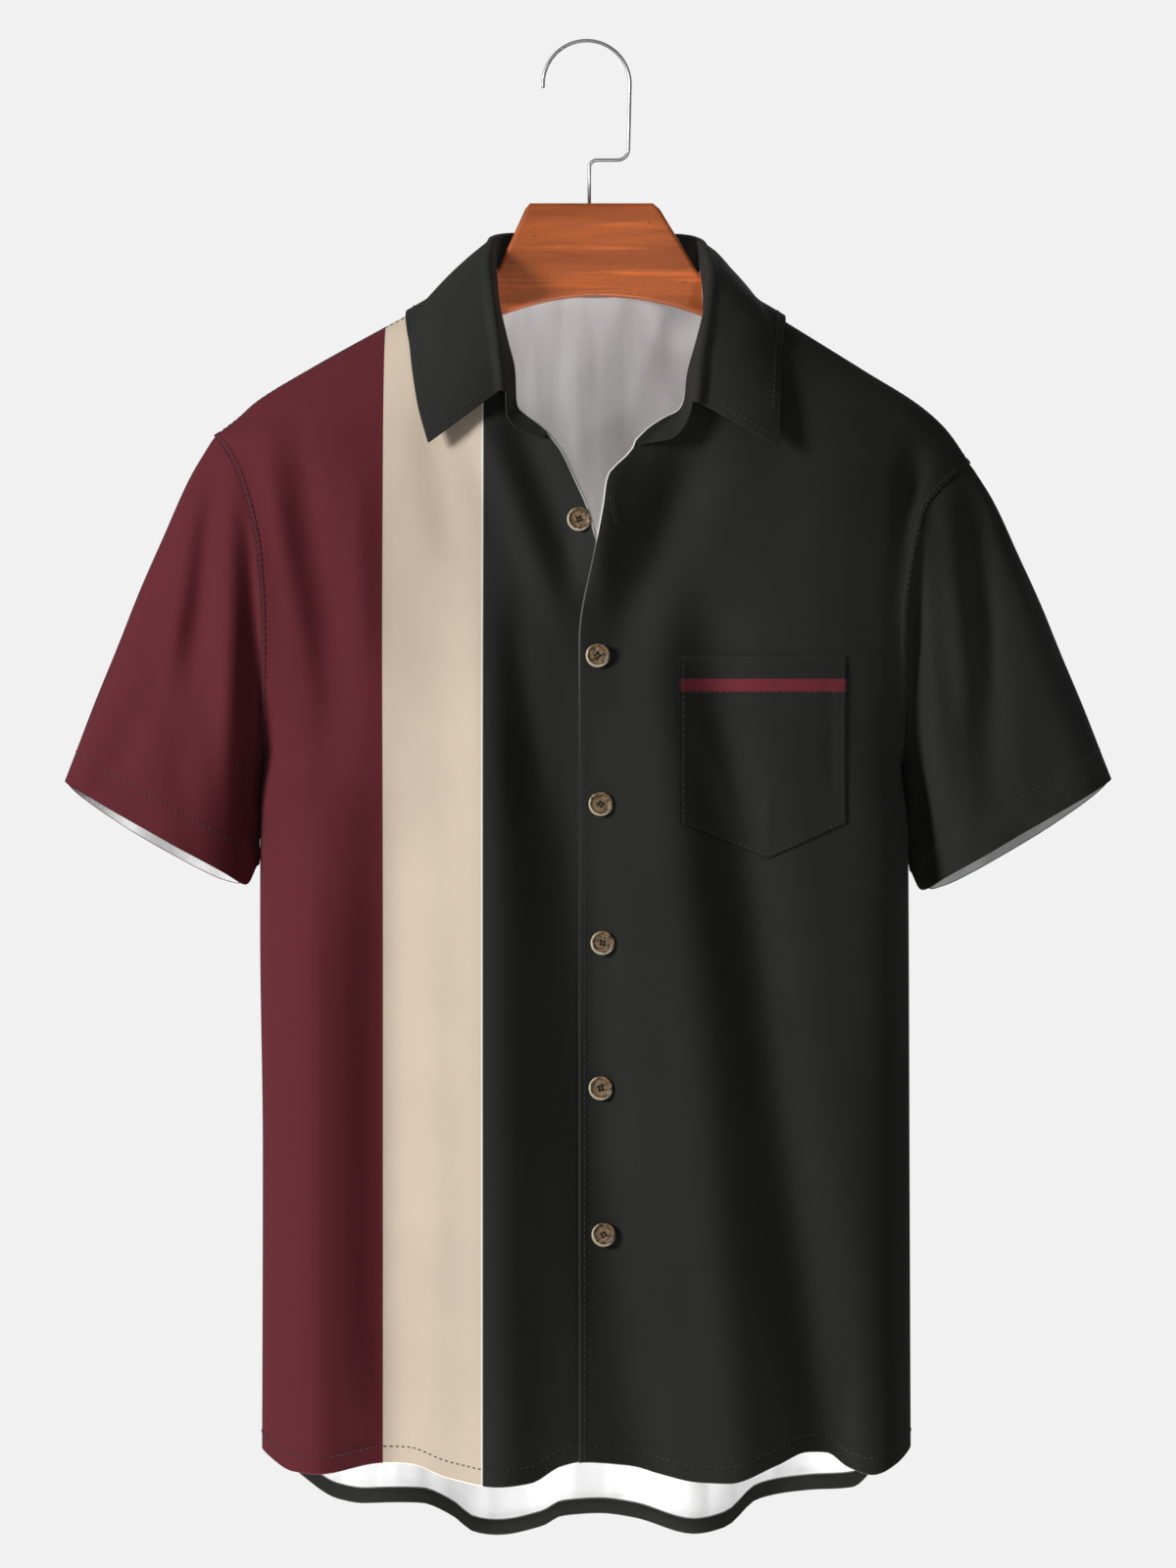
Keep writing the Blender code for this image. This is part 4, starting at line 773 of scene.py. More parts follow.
def sleeve_sheet(side):
    """A short sleeve: a tube from the armhole to its hem, with soft drags down from the shoulder."""
    hole, cut = ARMHOLES[side], SLEEVES[side]
    outward = -1 if side == "left" else 1
    around = 2 * ARMHOLE_ROWS
    turn = 2 * pi * (np.arange(around + 1) % around)[None, :] / around
    share = (np.arange(SLEEVE_ROWS + 1) / SLEEVE_ROWS)[:, None] + 0 * turn
    share = 1 - (1 - share) ** SLEEVE_CROWDING
    turn = turn + 0 * share
    facing = -np.sin(turn)
    middle, half = hole_span(side)
    z = middle + half * np.cos(turn)
    depth = np.where(facing < 0, hole.front, hole.back)
    start = np.stack([flank_x[side](z) - outward * SLEEVE_TUCK, facing * depth, z], axis=-1)
    outer = np.array([cut.outer_x, 0, cut.outer_z])
    inner = np.array([cut.inner_x, -INNER_FORWARD, cut.inner_z])
    reach = (1 + np.cos(turn)) / 2
    end = inner + (outer - inner) * reach[..., None]
    inside, outside = SLEEVE_ROUNDNESS[side]
    end[..., 1] += np.sign(facing) * np.abs(facing) ** (inside + (outside - inside) * reach) * cut.depth
    end[..., 2] += CORNER_LIFT * np.exp(-(reach / CORNER_SPAN) ** 2)
    end[..., 2] -= SLEEVE_BACK_DROP * np.maximum(facing, 0) * smoothstep(0, BACK_DROP_FULL, reach)
    hidden = CORNER_HIDDEN * np.maximum(facing, 0) ** 0.5 * (1 - smoothstep(*HIDDEN_FADE, reach))
    end[..., 0] += outward * hidden
    end[..., 2] += hidden
    bow = SLEEVE_CROWN * np.maximum(np.cos(turn), 0) * np.sin(pi * share ** CROWN_EASE)
    points = start + (end - start) * share[..., None]
    points += bow[..., None] * np.array([outward * CROWN_OUT, 0, CROWN_UP])
    points[..., 0] += outward * INNER_BOW * np.maximum(-np.cos(turn), 0) ** 3 * np.sin(pi * share)
    in_front = smoothstep(0, SLEEVE_CREASE_SIDE, -facing) * smoothstep(0, SLEEVE_CREASE_START, share)
    points[..., 1] -= creased(SLEEVE_CREASES[side], points[..., 0], points[..., 2]) * in_front
    made = Sheet(points, turned=side == "left", closed=True)
    push = 0.0
    for drag in SLEEVE_DRAGS[side]:
        centre = drag.turn_top + (drag.turn_low - drag.turn_top) * share
        off = np.angle(np.exp(1j * (turn - centre)))
        grown = smoothstep(drag.start, drag.full, share)
        push = push + drag.depth * np.exp(-(off / drag.width) ** 2) * grown
    u, v = RIPPLE_ROUND * np.sin(turn), RIPPLE_ROUND * np.cos(turn) + RIPPLE_ALONG * share
    push = push + ripple(u, v, SLEEVE_UNEVEN)
    return made.raised(push * smoothstep(0, DRAG_START, share))


# ---- making meshes ----

def unit(vectors):
    """The vectors at length one."""
    return vectors / np.maximum(np.linalg.norm(vectors, axis=-1, keepdims=True), 1e-9)


def make_mesh(name, points, faces, materials, slots=None):
    """A smooth mesh from points in mm and lists of corners, with its materials."""
    mesh = bpy.data.meshes.new(name)
    mesh.from_pydata((np.asarray(points) * MM).tolist(), [], [list(face) for face in faces])
    for each in materials:
        mesh.materials.append(each)
    if slots is not None:
        mesh.polygons.foreach_set("material_index", np.asarray(slots, np.int32))
    mesh.shade_smooth()
    return mesh


def put(name, mesh, slot, *nodes):
    """Put a finished mesh in the scene: it rides on the one body and stands for its nodes."""
    made = bpy.data.objects.new(name, mesh)
    bpy.context.scene.collection.objects.link(made)
    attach(made, "root")
    if nodes:
        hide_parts(*nodes)
    return made


def as_numbers(mesh, name, values):
    """Keep a value in metres, or three of them, for each point of a mesh, for its finish to read."""
    kind = "FLOAT_VECTOR" if values.ndim == 2 else "FLOAT"
    field = "vector" if values.ndim == 2 else "value"
    places = mesh.attributes.new(name, kind, "POINT").data
    places.foreach_set(field, (values * MM).ravel().astype(np.float32))


def shell(name, sheet, wall, materials, borders, light_edge=None):
    """A closed wall of cloth: its outer face, its inner face and rounded rims between them.

    The materials are the outside and the inside. The rims take the outside, but where the light edge's
    border runs they take a third finish and stand out a little, as a folded edge does.
    """
    own, quads = sheet.own, sheet.quads
    outer = sheet.points[own]
    thick = np.broadcast_to(wall, own.shape)[own][:, None]
    inner = outer - sheet.normals * thick
    count = len(outer)
    starts, ends = quads.ravel(), np.roll(quads, -1, axis=1).ravel()
    loose = ~np.isin(starts * count + ends, ends * count + starts)
    a, b = starts[loose], ends[loose]
    beside = unit(np.cross(outer[b] - outer[a], sheet.normals[a]))
    out = np.zeros_like(outer)
    np.add.at(out, a, beside)
    np.add.at(out, b, beside)
    rim = np.unique(np.concatenate([a, b]))
    light = np.zeros(count, bool)
    if light_edge:
        light = getattr(sheet, light_edge)[own] < 0.001
    reach = thick * RIM_ROUND + light[:, None] * LIGHT_EDGE
    middle = ((outer + inner) / 2 + unit(out) * reach)[rim]
    on_rim = np.full(count, -1)
    on_rim[rim] = 2 * count + np.arange(len(rim))
    upper = np.stack([b, a, on_rim[a], on_rim[b]], axis=1)
    lower = np.stack([on_rim[b], on_rim[a], a + count, b + count], axis=1)
    faces = np.vstack([quads, quads[:, ::-1] + count, upper, lower])
    edge_slots = 2 * (light[a] & light[b]).astype(int)
    slots = np.concatenate([np.zeros(len(quads), int), np.ones(len(quads), int), edge_slots, edge_slots])
    mesh = make_mesh(name, np.vstack([outer, inner, middle]), faces.tolist(), materials, slots)
    pairs_at = np.zeros(2 * len(mesh.edges), np.int32)
    mesh.edges.foreach_get("vertices", pairs_at)
    pairs_at = np.sort(pairs_at.reshape(-1, 2), axis=1)
    border = np.sort(np.vstack([np.stack([a, b], 1), np.stack([a, b], 1) + count]), axis=1)
    total = 3 * count
    sharp = np.isin(pairs_at[:, 0] * total + pairs_at[:, 1], border[:, 0] * total + border[:, 1])
    mesh.attributes.new("sharp_edge", "BOOLEAN", "EDGE").data.foreach_set("value", sharp)
    for label, grid in (("flat", np.stack([sheet.first, sheet.low, 0 * sheet.low], axis=-1)),
                        ("borders", np.stack(np.broadcast_arrays(*borders), axis=-1).astype(float))):
        values = grid[own]
        as_numbers(mesh, label, np.vstack([values, values, values[rim]]))
    return mesh


def stitches_along(points, facing):
    """Starts, ends and facings of the stitches along a line."""
    walk, pitch = running(points), STITCH + STITCH_GAP
    starts = STITCH_GAP + np.arange(max(1, int((walk[-1] - STITCH_GAP) / pitch))) * pitch
    both = np.concatenate([points, facing], axis=1)
    first = np.stack([np.interp(starts, walk, both[:, k]) for k in range(6)], axis=1)
    last = np.stack([np.interp(starts + STITCH, walk, both[:, k]) for k in range(6)], axis=1)
    return first[:, :3], last[:, :3], first[:, 3:]


def spokes(sides, first, second):
    """Directions evenly spaced round a circle, which runs from the first axis to the second."""
    turn = (2 * pi * np.arange(sides) / sides)[None, :, None]
    return np.cos(turn) * np.atleast_2d(first)[:, None] + np.sin(turn) * np.atleast_2d(second)[:, None]


def thread_mesh(name, runs, radius, material):
    """All the stitches of several runs as one mesh, each a short thread that dips into the cloth."""
    start, end, up = (np.concatenate(part) for part in zip(*runs))
    along = unit(end - start)
    side = unit(np.cross(along, up))
    up = np.cross(side, along)
    round_thread, rings = spokes(THREAD_SIDES, side, up), []
    for share, size, lift in STITCH_RINGS:
        centre = start + (end - start) * share + up * radius * lift
        rings.append(centre[:, None] + radius * size * round_thread)
    points = np.stack(rings, axis=1).reshape(-1, 3)
    pattern, last = [], (len(STITCH_RINGS) - 1) * THREAD_SIDES
    for ring in range(len(STITCH_RINGS) - 1):
        for k in range(THREAD_SIDES):
            low, beside = ring * THREAD_SIDES + k, ring * THREAD_SIDES + (k + 1) % THREAD_SIDES
            pattern.append([low, low + THREAD_SIDES, beside + THREAD_SIDES, beside])
    caps = [list(range(THREAD_SIDES)), [last + k for k in reversed(range(THREAD_SIDES))]]
    faces = []
    for number in range(len(start)):
        first = number * len(STITCH_RINGS) * THREAD_SIDES
        faces += [[first + corner for corner in face] for face in [*pattern, *caps]]
    return make_mesh(name, points, faces, [material])


def faced_out(mesh, merge=False):
    """Turn a mesh's faces outwards, after merging its doubled points where that is asked for."""
    shape = bmesh.new()
    shape.from_mesh(mesh)
    if merge:
        bmesh.ops.remove_doubles(shape, verts=shape.verts, dist=SAME_POINT)
    bmesh.ops.recalc_face_normals(shape, faces=shape.faces)
    shape.to_mesh(mesh)
    shape.free()


def tube_mesh(name, path, radius, sides, material):
    """A round wire along a path in the plane of X and Z, its first end rounded and its last end flat."""
    path = np.asarray(path, float)
    along = unit(np.gradient(path, axis=0))
    across = np.cross(along, [0.0, 1.0, 0.0])
    dome = np.linspace(0, pi / 2, DOME_STEPS)[:-1]
    centres = np.vstack([path[0] - along[0] * radius * np.cos(dome)[:, None], path])
    tip_sizes = np.maximum(radius * np.sin(dome), radius * DOME_TIP)
    sizes = np.concatenate([tip_sizes, np.full(len(path), radius)])
    across = np.vstack([np.repeat(across[:1], len(dome), 0), across])
    rings = centres[:, None] + spokes(sides, across, (0, 1.0, 0)) * sizes[:, None, None]
    faces = []
    for i in range(len(centres) - 1):
        for k in range(sides):
            low, beside = i * sides + k, i * sides + (k + 1) % sides
            faces.append([low, beside, beside + sides, low + sides])
    faces += [list(range(sides))[::-1], [(len(centres) - 1) * sides + k for k in range(sides)]]
    mesh = make_mesh(name, rings.reshape(-1, 3), faces, [material])
    faced_out(mesh)
    return mesh


def settled(made):
    """The mesh of an object with its modifiers applied, in place of the object."""
    evaluated = made.evaluated_get(bpy.context.evaluated_depsgraph_get())
    mesh = bpy.data.meshes.new_from_object(evaluated)
    bpy.data.objects.remove(made)
    return mesh


def loose_object(name, data):
    """An object that is used while a piece is made, and isn't kept."""
    made = bpy.data.objects.new(name, data)
    bpy.context.scene.collection.objects.link(made)
    return made


def pegs(name, places, radius, depth):
    """Upright round pegs at the places, to be taken out of another object."""
    shape = bmesh.new()
    for place in places:
        made = bmesh.ops.create_cone(shape, cap_ends=True, segments=PEG_SIDES, radius1=radius * MM,
                                     radius2=radius * MM, depth=depth * MM)
        bmesh.ops.translate(shape, verts=made["verts"], vec=Vector(place) * MM)
    mesh = bpy.data.meshes.new(name)
    shape.to_mesh(mesh)
    shape.free()
    return loose_object(name, mesh)


def cut_out(made, cutting):
    """The mesh of an object with a cutter's shape taken out; both objects are dropped."""
    cut = made.modifiers.new("cut", "BOOLEAN")
    cut.operation, cut.solver, cut.object = "DIFFERENCE", "EXACT", cutting
    mesh = settled(made)
    bpy.data.objects.remove(cutting)
    return mesh


# ---- collar, pocket and the surfaces that things lie on ----

def body_tree(*sheets):
    """The outer faces of several sheets as one searchable surface, in mm."""
    points, faces, count = [], [], 0
    for sheet in sheets:
        own = sheet.points[sheet.own]
        points += own.tolist()
        faces += (sheet.quads + count).tolist()
        count += len(own)
    return BVHTree.FromPolygons(points, faces)


def seen(tree, x, z):
    """The foremost point of a surface at a place seen from the front, and the way it faces."""
    place, facing, _, _ = tree.ray_cast(Vector((x, FAR_IN_FRONT, z)), Vector((0, 1, 0)))
    if place is None:
        raise ValueError(f"nothing lies behind {x:.1f}, {z:.1f}")
    return np.array(place), np.array(facing) * (-1 if facing.y > 0 else 1)


def lifted(point, panels, clearance):
    """The point, moved off the panels until it is the given distance clear of them."""
    place, normal, _, _ = panels.find_nearest(point)
    short = clearance - (point - place).dot(normal)
    return point + normal * short if short > 0 else point


def tab_top(row):
    """The free edge of a tab, standing a little in front of the cloth below it."""
    return row.top_x, float(body_y(row.top_x, row.top_z)) - row.lift, row.top_z


tops = numbered([tab_top(row) for row in LEFT_TAB] + [(row.top_x, row.top_y, row.top_z) for row in COLLAR]
                + [tab_top(row) for row in RIGHT_TAB])
leaf_edges = [(row.edge_x, row.edge_y, row.edge_z) for row in COLLAR]
edges = numbered([leaf_edges[0]] * len(LEFT_TAB) + leaf_edges + [leaf_edges[-1]] * len(RIGHT_TAB))


def read(curves, at):
    """The point at a place on a line that is given as one curve for each axis."""
    return Vector([float(curve(at)) for curve in curves])


def heading(curves, at):
    """The direction the line runs in at a place."""
    return (read(curves, at + NEARBY) - read(curves, at - NEARBY)).normalized()


def even_stations(curves, first, last, columns):
    """Places evenly spaced by length along a curve."""
    fine = np.linspace(first, last, FINE_STEPS * 5 + 1)
    walk = running(np.stack([curve(fine) for curve in curves], axis=1))
    return np.interp(walk[-1] * np.arange(columns + 1) / columns, walk, fine)


def leaf_stations():
    """Where the leaf's columns stand, evenly spaced along its edge."""
    return even_stations(edges, len(LEFT_TAB), len(LEFT_TAB) + len(COLLAR) - 1, LEAF_COLUMNS)


def stand_sheet(panels):
    """The collar's stand: a band from the neckline up to its top, its two tabs lying open."""
    leaf = leaf_stations()
    left_tab = even_stations(tops, 0, leaf[0], TAB_COLUMNS)
    right_tab = even_stations(tops, leaf[-1], len(neckline_rows) - 1, TAB_COLUMNS)
    columns = []
    for at in [*left_tab[:-1], *leaf, *right_tab[1:]]:
        seam, top = Vector(neck_place(at)), read(tops, at)
        up = (top - seam).normalized()
        inward = heading(tops, at).cross(up).normalized()
        foot = seam + up * STAND_GAP + inward * STAND_INSET
        across = [foot.lerp(top, k / STAND_ROWS) for k in range(STAND_ROWS + 1)]
        columns.append([lifted(point, panels, STAND_CLEARANCE) for point in across])
    return Sheet(np.array(columns, float).swapaxes(0, 1), turned=True)


def leaf_profile(seam, top, edge, along, panels):
    """Across the leaf: up from the stand's top, over the roll and down to the edge."""
    up = (top - seam).normalized()
    out = up.cross(along).normalized()
    centre = top + up * ROLL_RISE + out * (ROLL_RADIUS - LEAF_WALL)
    points = [top - out * LEAF_WALL + up * STAND_GAP]
    for k in range(ROLL_ROWS):
        turn = pi * 2 / 3 * k / (ROLL_ROWS - 1)
        points.append(centre + (up * sin(turn) - out * cos(turn)) * ROLL_RADIUS)
    start = centre + out * ROLL_RADIUS
    bow = (edge - start).cross(along).normalized()
    for k in range(LEAF_ROWS + 1):
        share = k / LEAF_ROWS
        place = start.lerp(edge, share) - bow * LEAF_BOW * 4 * share * (1 - share)
        points.append(lifted(place, panels, LEAF_CLEARANCE))
    return points


def leaf_sheet(panels):
    """The collar's leaf, turned down over the stand."""
    columns = []
    for at in leaf_stations():
        place = Vector(neck_place(at)), read(tops, at), read(edges, at)
        columns.append(leaf_profile(*place, heading(tops, at), panels))
    made = Sheet(np.array(columns, float).swapaxes(0, 1))
    uneven = ripple(made.first, made.low * LEAF_TALL, LEAF_UNEVEN)
    return made.raised(uneven * smoothstep(*LEAF_EASE, made.low))


def pocket_low(x):
    """Height of the pocket's pointed lower edge."""
    side = np.where(x < POCKET_POINT_X, POCKET_LEFT, POCKET_RIGHT)
    return POCKET_SIDE + (POCKET_POINT - POCKET_SIDE) * (x - side) / (POCKET_POINT_X - side)


def pocket_sheet():
    """The pocket: a patch that follows the front beneath it, a little full and open along its top."""
    u = (np.arange(POCKET_COLUMNS + 1) / POCKET_COLUMNS)[None, :]
    v = (1 - (1 - np.arange(POCKET_ROWS + 1) / POCKET_ROWS) ** POCKET_CROWDING)[:, None]
    u, v = np.broadcast_arrays(u, v)
    x = POCKET_LEFT + (POCKET_RIGHT - POCKET_LEFT) * u
    low = pocket_low(x)
    z = low + (POCKET_TOP - low) * v
    full = np.sin(pi * u) ** 0.6 * (POCKET_FULL * np.sin(pi * np.clip(v, 0, 0.5)) + POCKET_GAPE * v ** 6)
    creases = creased(POCKET_CREASES, x, z)
    for beside in (u, 1 - u):
        creases = creases * smoothstep(0, POCKET_FLAT_RIM, beside)
    lift = POCKET_LIFT + full - creases
    return Sheet(np.stack([x, over_face(x, z) - lift, z], axis=-1))


# ---- finishes ----

class Wire:
    """One output of a node; sums of wires and numbers add their Math nodes."""

    def __init__(self, recipe, socket):
        self.recipe, self.socket = recipe, socket

    def _math(self, operation, first, second):
        return self.recipe.add("ShaderNodeMath", {"operation": operation}, {0: first, 1: second})

    def __add__(self, other):
        return self._math("ADD", self, other)

    def __radd__(self, other):
        return self._math("ADD", other, self)

    def __sub__(self, other):
        return self._math("SUBTRACT", self, other)

    def __rsub__(self, other):
        return self._math("SUBTRACT", other, self)

    def __mul__(self, other):
        return self._math("MULTIPLY", self, other)

    def __rmul__(self, other):
        return self._math("MULTIPLY", other, self)


class Recipe:
    """The nodes of a finish or of the surroundings, each added by type, settings and sockets."""

    def __init__(self, owner):
        self.owner = owner
        owner.use_nodes = True
        self.tree = owner.node_tree
        self.tree.nodes.clear()

    def add(self, kind, settings=None, sockets=None, output=0):
        """Add one node: its settings first, then the values or wires of its sockets."""
        node = self.tree.nodes.new(kind)
        for name, value in (settings or {}).items():
            if name == "stops":
                for stop in value[2:]:
                    node.color_ramp.elements.new(stop[0])
                for element, (place, colour) in zip(node.color_ramp.elements, value):
                    element.position, element.color = place, colour
            else:
                setattr(node, name, value)
        for name, value in (sockets or {}).items():
            if isinstance(value, Wire):
                self.tree.links.new(value.socket, node.inputs[name])
            else:
                node.inputs[name].default_value = value
        return Wire(self, node.outputs[output]) if len(node.outputs) else node

    def parts(self, vector):
        """The three numbers of a vector."""
        node = self.add("ShaderNodeSeparateXYZ", {}, {0: vector}).socket.node
        return [Wire(self, socket) for socket in node.outputs]

    def kept(self, name):
        """The numbers kept on the mesh under a name."""
        return self.add("ShaderNodeAttribute", {"attribute_name": name}, {}, "Vector")

    def place(self):
        """The place on the object, in metres."""
        return self.add("ShaderNodeTexCoord", {}, {}, "Object")

    def stretched(self, vector, x, y, z):
        """A vector with each of its numbers scaled."""
        return self.add("ShaderNodeVectorMath", {"operation": "MULTIPLY"}, {0: vector, 1: (x, y, z)})

    def cloud(self, vector, scale, detail=2.0, rough=0.5):
        """Soft noise between 0 and 1."""
        return self.add("ShaderNodeTexNoise", {}, {"Vector": vector, "Scale": scale, "Detail": detail,
                                                   "Roughness": rough})

    def rise(self, value, low, high):
        """0 below low, 1 above high, eased between."""
        return self.add("ShaderNodeMapRange", {"interpolation_type": "SMOOTHSTEP"},
                        {"Value": value, "From Min": low, "From Max": high})

    def wave(self, value, per_metre):
        """A sine of a value in metres."""
        return self.add("ShaderNodeMath", {"operation": "SINE"}, {0: value * (2 * pi * per_metre)})

    def mix(self, factor, first, second, how="MIX"):
        """One colour mixed into another."""
        return self.add("ShaderNodeMix", {"data_type": "RGBA", "blend_type": how},
                        {0: factor, 6: first, 7: second}, 2)

    def times(self, colour, red, green, blue):
        """A colour with each of its parts multiplied."""
        return self.mix(1.0, colour, (red, green, blue, 1), "MULTIPLY")

    def most(self, first, second):
        """The greater of two values."""
        return self.add("ShaderNodeMath", {"operation": "MAXIMUM"}, {0: first, 1: second})

    def step(self, value, at, soft):
        """0 below a place and 1 above it, with a narrow rise; the place is in mm, the value in metres."""
        return self.rise(value, (at - soft) * MM, (at + soft) * MM)

    def bump(self, height, distance, strength=1.0, normal=None):
        """A relief of a height field."""
        sockets = {"Height": height, "Distance": distance, "Strength": strength}
        if normal:
            sockets["Normal"] = normal
        return self.add("ShaderNodeBump", {}, sockets)

    def finish(self, **sockets):
        """Close the recipe with its Principled shader; constants go straight on the sockets."""
        named = {name.replace("_", " ").title().replace("Ior", "IOR"): value
                 for name, value in sockets.items()}
        shader = self.add("ShaderNodeBsdfPrincipled", {}, named)
        self.add("ShaderNodeOutputMaterial", {}, {"Surface": shader})
        return self.owner


def new_recipe(name):
    """The empty recipe of a new finish."""
    return Recipe(bpy.data.materials.new(name))


def full(colour):
    """A colour with its alpha."""
    return (*colour, 1)


def shade(colour, by):
    """A colour made darker or lighter."""
    return (*(min(1.0, part * by) for part in colour[:3]), 1.0)


def sewn_cloth(recipe, colour):
    """Weave, slubs, puckers and wear for any of the cloths, with free edges lighter, partly wear and partly
    painted highlight, and painted shade along seams: gives colour, roughness and normal.
    """
    u, v, _ = recipe.parts(recipe.kept("flat"))
    hem, free, seam = recipe.parts(recipe.kept("borders"))
    place = recipe.place()
    threads = recipe.wave(u, THREADS) * recipe.wave(v, THREADS)
    slub = recipe.cloud(recipe.stretched(recipe.kept("flat"), *SLUB_STRETCH), 1.0, 1.0)
    soft = recipe.cloud(place, SOFT_SCALE, 3.0)
    near_seam = 1 - recipe.rise(seam, *SEAM_PUCKER)
    near_hem = 1 - recipe.rise(hem, *HEM_PUCKER)
    near_free = 1 - recipe.rise(free, *EDGE_PUCKER)
    sewn = recipe.most(recipe.most(near_seam, near_hem * 0.6), near_free * 0.5)
    pucker = recipe.cloud(place, PUCKER_SCALE) * sewn
    worn, bright = recipe.rise(soft, 0.3, 0.7) * 0.5, (threads * 0.5 + 0.5) * slub * 0.35
    # Free edges are painted lighter, partly wear and partly painted highlight; the seam lines get painted
    # shade.
    edge, seam_shade = 1 - recipe.rise(free, *EDGE_WEAR_AND_HIGHLIGHT), 1 - recipe.rise(seam, *SEAM_SHADE_SPAN)
    for factor, tint in ((worn, WORN_TINT), (bright, THREAD_TINT), (edge * 0.6, EDGE_WEAR_AND_HIGHLIGHT_TINT),
                         (seam_shade * 0.8, SEAM_SHADE_TINT)):
        colour = recipe.mix(factor, colour, recipe.times(colour, *tint))
    normal = recipe.bump(threads + slub, *WEAVE_RELIEF)
    normal = recipe.bump(pucker, *PUCKER_RELIEF, normal)
    crumple = recipe.cloud(recipe.stretched(place, *CRUMPLE_STRETCH), CRUMPLE_SCALE, 3.0)
    normal = recipe.bump(crumple, *CRUMPLE_RELIEF, normal)
    roughness = 0.74 + 0.16 * soft + 0.05 * threads
    return colour, roughness, normal


def cloth_finish(name, colour, colour_at=None):
    """One of the shirt's cloths, plain or with its colour by place."""
    recipe = new_recipe(name)
    colour, roughness, normal = sewn_cloth(recipe, colour_at(recipe) if colour_at else full(colour))
    return recipe.finish(base_color=colour, roughness=roughness, normal=normal, sheen_weight=CLOTH_SHEEN,
                         sheen_roughness=CLOTH_SHEEN_ROUGHNESS, specular_ior_level=CLOTH_GLOSS)


def bands(recipe):
    """The print: maroon, a cream stripe and black, side by side across X."""
    colours = bpy.context.scene.shirt_colours
    x, _, z = recipe.parts(recipe.place())
    _, free, _ = recipe.parts(recipe.kept("borders"))
    open_edge = (1 - recipe.rise(free, 0.0005, 0.0009)) * recipe.rise(z, *COLLAR_OPENS)
    stripe = recipe.mix(recipe.step(x, CREAM_FROM, PRINT_SOFT), full(colours.maroon), full(colours.cream))
    line_from, line_to = ((CREAM_TO - back) * MM for back in PALE_LINE_SPAN)
    line = recipe.mix(recipe.rise(x, line_from, line_to), stripe, PALE_LINE)
    black = recipe.mix(open_edge * 0.5, full(colours.black), PALE_EDGE)
    return recipe.mix(recipe.step(x, CREAM_TO, PRINT_SOFT), line, black)


def shoulder_bands(recipe):
    """The back's colour: black, with the print carried over the shoulder as far as the ridge."""
    colours = bpy.context.scene.shirt_colours
    _, y, _ = recipe.parts(recipe.place())
    behind = recipe.rise(y, 0.0, 0.0008)
    return recipe.mix(behind, bands(recipe), full(colours.black))


def pocket_strip(recipe):
    """The pocket's colour: black with one printed strip across it, whose maroon is made lighter, partly as
    its own print and partly as painted light.
    """
    colours = bpy.context.scene.shirt_colours
    _, _, z = recipe.parts(recipe.place())
    above, below = recipe.step(z, STRIP_LOW, PRINT_SOFT), 1 - recipe.step(z, STRIP_HIGH, PRINT_SOFT)
    # The strip's maroon is made lighter: partly its own print, partly painted light for the less lit chest.
    return recipe.mix(above * below, full(colours.black), shade(colours.maroon, 1.55))


def opening_edge(recipe):
    """The colour of the opening's edge: pale where the collar lies open, black further down."""
    colours = bpy.context.scene.shirt_colours
    _, _, z = recipe.parts(recipe.place())
    faint = recipe.mix(recipe.rise(z, -0.47, -0.33) * 0.13, full(colours.black), PALE_EDGE)
    return recipe.mix(recipe.rise(z, *COLLAR_OPENS), faint, PALE_EDGE)


def reverse_finish(name, turned_colour=None):
    """The pale inside of the cloth, with grey streaks of painted fold shade, and the turned-up hem showing
    the outside's colour in painted shade, with a painted highlight along its fold.
    """
    colours = bpy.context.scene.shirt_colours
    recipe = new_recipe(name)
    hem, _, _ = recipe.parts(recipe.kept("borders"))
    # Grey streaks of painted shade that stand in for the shade of soft folds.
    painted_fold_shade = recipe.cloud(recipe.stretched(recipe.place(), 34, 20, 5), 1.0)
    base = recipe.mix(recipe.rise(painted_fold_shade, 0.38, 0.64), full(colours.inside), shade(colours.inside, 0.72))
    if turned_colour:
        # The turned hem: the outside's colour darkened as painted shade, with a thin painted highlight line
        # just below its fold.
        highlight_from, highlight_to = ((HEM_WIDTH - back) * MM for back in HEM_FOLD_HIGHLIGHT)
        turned = recipe.mix(recipe.rise(hem, highlight_from, highlight_to), shade(turned_colour, 0.45),
                            shade(turned_colour, 6))
        base = recipe.mix(recipe.step(hem, HEM_WIDTH, HEM_STEP), turned, base)
    colour, roughness, normal = sewn_cloth(recipe, base)
    return recipe.finish(base_color=colour, roughness=roughness, normal=normal,
                         specular_ior_level=CLOTH_GLOSS)


def thread_finish(name, colour):
    """Sewing thread: a fine twist along it."""
    recipe = new_recipe(name)
    fibres = recipe.cloud(recipe.place(), 2600.0, 2.0)
    tone = recipe.mix(fibres, full(colour), shade(colour, 1.7))
    return recipe.finish(base_color=tone, roughness=0.55 + 0.2 * fibres,
                         normal=recipe.bump(fibres, 0.0001, 0.5), sheen_weight=0.2)


